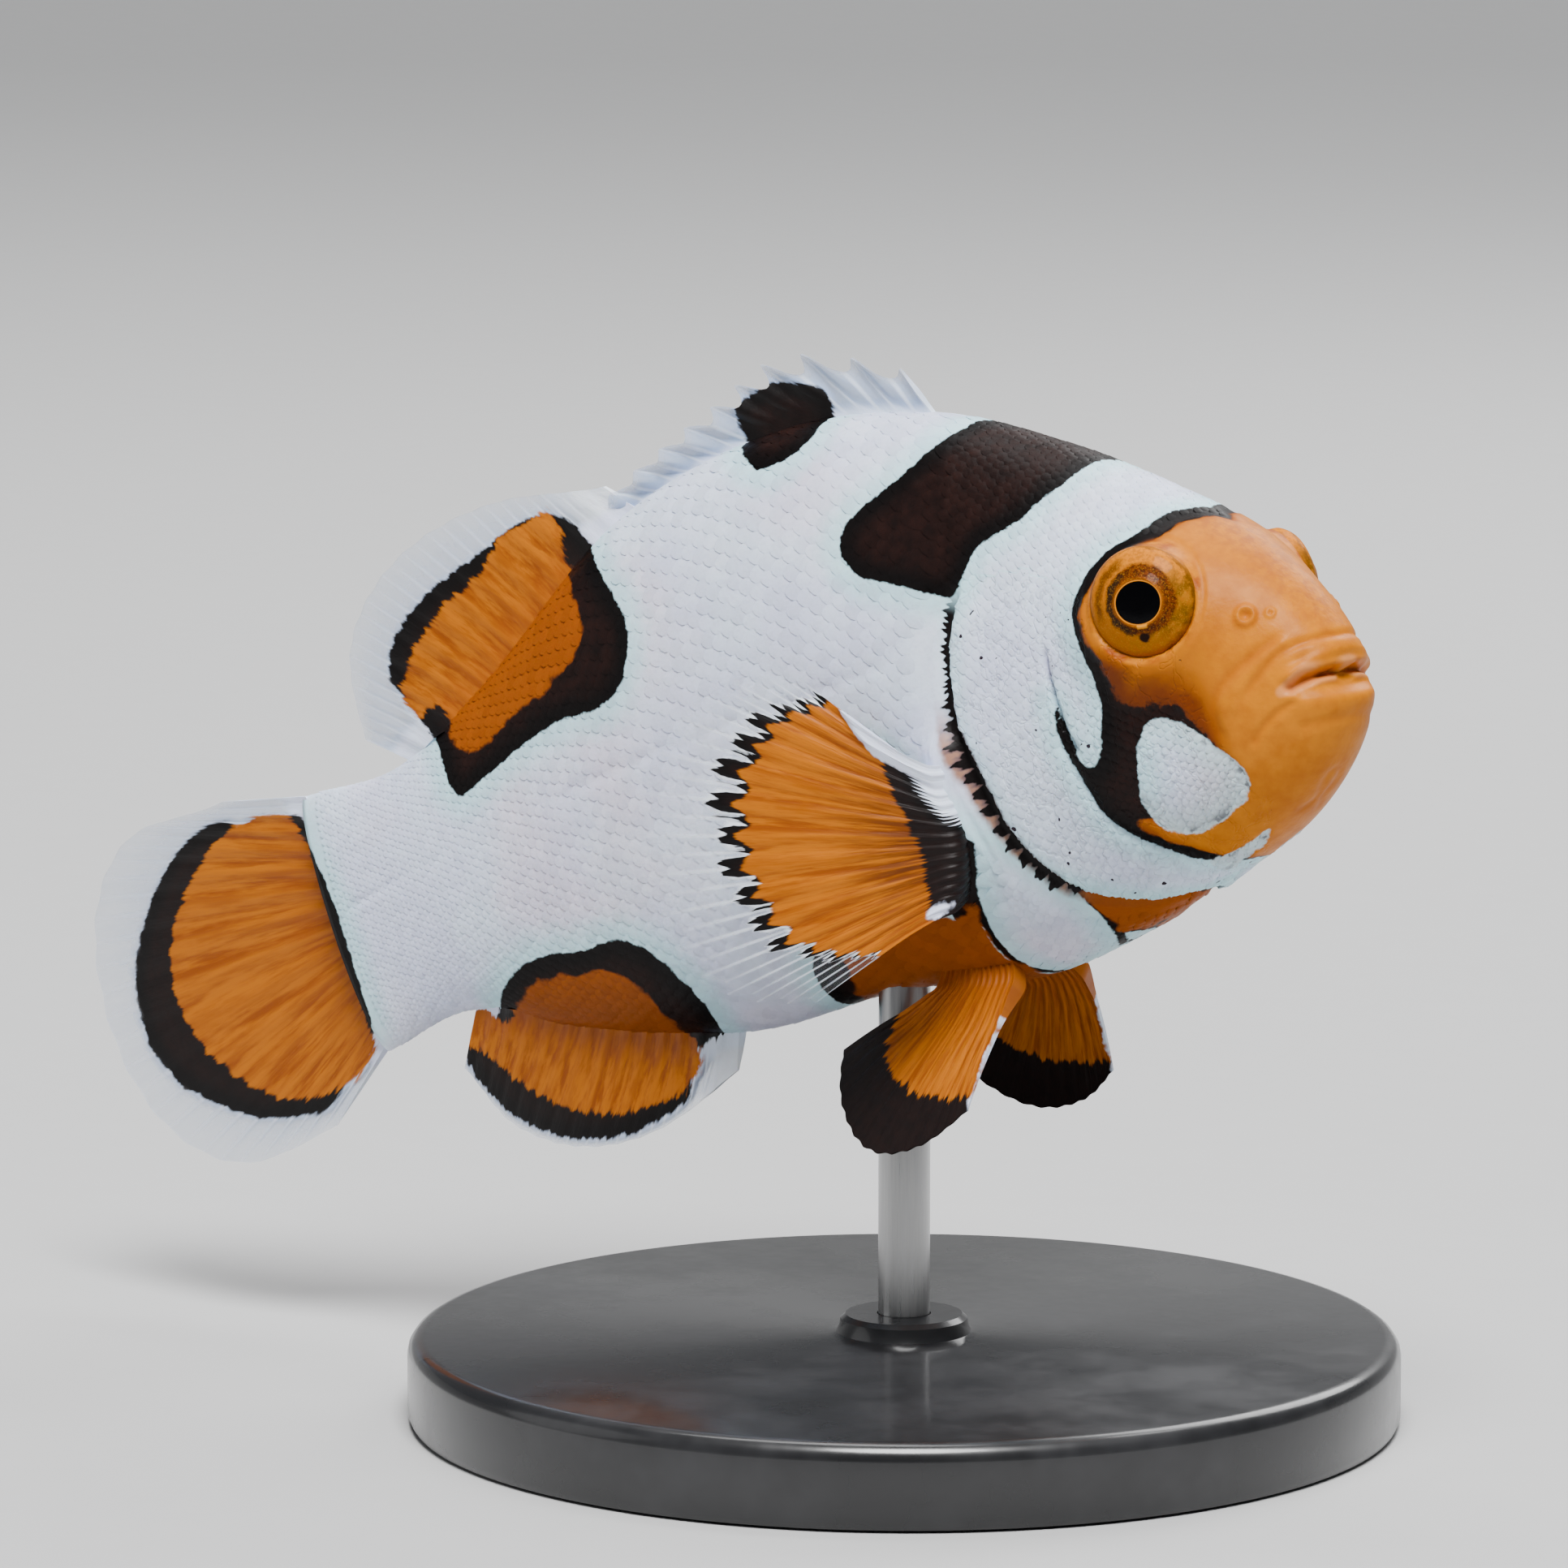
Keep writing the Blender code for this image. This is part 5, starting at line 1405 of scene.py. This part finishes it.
# Borders across a fin: ends of the black tips, of the black web and of the orange as shares of a
# ray, then where orange and black begin in millimetres from the root.
PECTORAL_BORDERS = ([0.81, 0.79, 0.765, 0.665, 0.47], [0.785, 0.745, 0.695, 0.59, 0.43],
                    [0.74, 0.70, 0.685, 0.61, 0.45], [2.7, 2.2, 1.3, 0.9, 0.3], [0.9, 0.5, -2.0, -9.0, -9.0])
PELVIC_BORDERS = ([1.3] * 5, [1.3] * 5, [0.90, 0.70, 0.62, 0.58, 0.36], [-3.0] * 5, [-9.0] * 5)


class CLOWNFISH_OT_paired_fins(bpy.types.Operator):
    """Add the pectoral and pelvic fins"""
    bl_idname = "clownfish.add_paired_fins"
    bl_label = "Add paired fins"

    def execute(self, context):
        sizes = context.scene.clownfish_sizes
        finish = fin_finish("clownfish_paired_fins", context.scene.clownfish_colours)
        for side, word, splay in ((-1, "right", 0.50), (1, "left", 0.64)):
            for name, tilt, (place, *shape), borders in (
                    ("pectoral_fin_", (0.91, 0.41, 0.0), PECTORAL, PECTORAL_BORDERS),
                    ("pelvic_fin_", (0.0, splay, 0.87), PELVIC, PELVIC_BORDERS)):
                build_paired_fin(name + word, side, place, tilt, *shape, borders, sizes, finish)
        return {"FINISHED"}


class CLOWNFISH_OT_stand(bpy.types.Operator):
    """Give the stand's base and rod their shapes and finishes"""
    bl_idname = "clownfish.finish_stand"
    bl_label = "Finish stand"

    def execute(self, context):
        radius, top, chamfer, boss, rod, socket = 23.0, 4.0, 0.8, 3.0, 1.2, 1.65
        foot, tip = socket + 0.05, ROD_FOOT + 5.0
        base = [(radius - 0.5, 0.0), (radius - 0.15, 0.15), (radius, 0.5), (radius, top - chamfer),
                (radius - 0.06, top - 0.5), (radius - 0.25, top - 0.22), (radius - 0.5, top - 0.06),
                (radius - chamfer, top), (boss + 0.5, top), (boss + 0.12, top + 0.08), (boss, top + 0.35),
                (boss - 0.06, top + 0.7), (boss - 0.3, top + 0.9), (rod + 0.05, top + 0.9),
                (rod + 0.05, socket)]
        lathe("stand_base", base, lacquer_finish())
        lathe("stand_rod", [(rod - 0.2, foot), (rod, foot + 0.2), (rod, tip - 0.5), (rod - 0.15, tip - 0.15),
                            (rod - 0.5, tip)], steel_finish())
        return {"FINISHED"}


# The stage, in metres: a disc floor whose edge turns up, and lights as name, place, aim, width and watts.
FLOOR_FLAT, FLOOR_RADIUS, FLOOR_RISE, FLOOR_RINGS, FLOOR_COLUMNS = 0.9, 1.9, 0.55, 24, 96
FISH_MIDDLE = (-0.008, 0.0, 0.028)
LIGHTS = (("key", (0.17, -0.17, 0.46), FISH_MIDDLE, 0.24, 5.1),
          ("fill", (-0.35, -0.40, 0.22), FISH_MIDDLE, 0.40, 0.3),
          ("back", (-0.10, 0.42, 0.36), FISH_MIDDLE, 0.30, 1.6),
          ("far", (-0.2, 0.3, 0.9), (-0.9, 0.95, 0.1), 0.8, 11.5))
SKY_COLOUR, SKY_STRENGTH = (0.86, 0.90, 0.96, 1.0), 0.15
CAMERA_PLACE, CAMERA_AIM, SENSOR_WIDTH = (0.2525, -0.2703, 0.0856), (-0.00416, -0.00369, 0.02963), 36.0


def build_floor(finish):
    """A disc of rings, flat to FLOOR_FLAT, that then turns up by a smooth step to the power 1.5."""
    radius = np.concatenate([np.linspace(0.001, FLOOR_FLAT, FLOOR_RINGS),
                             np.linspace(1.0, FLOOR_RADIUS, FLOOR_RINGS)])[:, None]
    turn = np.linspace(0, 2 * math.pi, FLOOR_COLUMNS, endpoint=False)
    rise = FLOOR_RISE * smoothstep(FLOOR_FLAT, FLOOR_RADIUS, radius) ** 1.5 * (radius / FLOOR_RADIUS)
    disc = np.stack(np.broadcast_arrays(radius * np.cos(turn), radius * np.sin(turn), rise), -1)
    quads = grid_quads(*disc.shape[:2], wrap=True)
    mesh = bpy.data.meshes.new("studio_floor")
    mesh.from_pydata(disc.reshape(-1, 3).tolist(), [], quads.tolist() + [list(range(FLOOR_COLUMNS))])
    mesh.shade_smooth()
    mesh.materials.append(finish)
    floor = bpy.data.objects.new("studio_floor", mesh)
    bpy.context.scene.collection.objects.link(floor)


def aimed(name, data, place, aim):
    """A light or camera at a place, looking at aim."""
    made = bpy.data.objects.new(name, data)
    made.location = place
    made.rotation_mode = "QUATERNION"
    made.rotation_quaternion = (Vector(aim) - Vector(place)).to_track_quat("-Z", "Y")
    bpy.context.scene.collection.objects.link(made)
    return made


class CLOWNFISH_OT_stage(bpy.types.Operator):
    """Add the floor, lights, world and camera"""
    bl_idname = "clownfish.add_stage"
    bl_label = "Add stage"

    def execute(self, context):
        scene = context.scene
        build_floor(floor_finish(scene.clownfish_colours))
        for name, place, aim, size, power in LIGHTS:
            light = bpy.data.lights.new(name, "AREA")
            light.shape, light.size, light.energy = "DISK", size, power
            aimed(name, light, place, aim)
        world = bpy.data.worlds.new("studio")
        world.use_nodes = True
        sky = world.node_tree.nodes["Background"].inputs
        sky["Color"].default_value, sky["Strength"].default_value = SKY_COLOUR, SKY_STRENGTH
        scene.world = world
        optics = bpy.data.cameras.new("camera")
        optics.lens, optics.sensor_width = scene.clownfish_sizes.lens, SENSOR_WIDTH
        optics.clip_start, optics.clip_end = 0.01, 20.0
        scene.camera = aimed("camera", optics, CAMERA_PLACE, CAMERA_AIM)
        return {"FINISHED"}


PIECES = (CLOWNFISH_OT_skin, CLOWNFISH_OT_coat, CLOWNFISH_OT_eyes, CLOWNFISH_OT_median_fins,
          CLOWNFISH_OT_paired_fins, CLOWNFISH_OT_stand, CLOWNFISH_OT_stage)


class CLOWNFISH_PT_panel(bpy.types.Panel):
    """Sizes, colours and pieces of the clownfish model"""
    bl_label = "Clownfish"
    bl_space_type, bl_region_type, bl_category = "VIEW_3D", "UI", "Clownfish"

    def draw(self, context):
        for group in (context.scene.clownfish_sizes, context.scene.clownfish_colours):
            box = self.layout.box()
            for key in group.bl_rna.properties.keys():
                if key not in {"rna_type", "name"}:
                    box.prop(group, key)
        for operator in PIECES:
            self.layout.operator(operator.bl_idname)


CLASSES = (ClownfishSizes, ClownfishColours, *PIECES, CLOWNFISH_PT_panel)


def register():
    for each in CLASSES:
        bpy.utils.register_class(each)
    bpy.types.Scene.clownfish_sizes = bpy.props.PointerProperty(type=ClownfishSizes)
    bpy.types.Scene.clownfish_colours = bpy.props.PointerProperty(type=ClownfishColours)


def unregister():
    del bpy.types.Scene.clownfish_colours, bpy.types.Scene.clownfish_sizes
    for each in reversed(CLASSES):
        bpy.utils.unregister_class(each)


def main():
    register()
    for operator in PIECES:
        group, name = operator.bl_idname.split(".")
        getattr(getattr(bpy.ops, group), name)()


if __name__ == "__main__":
    main()
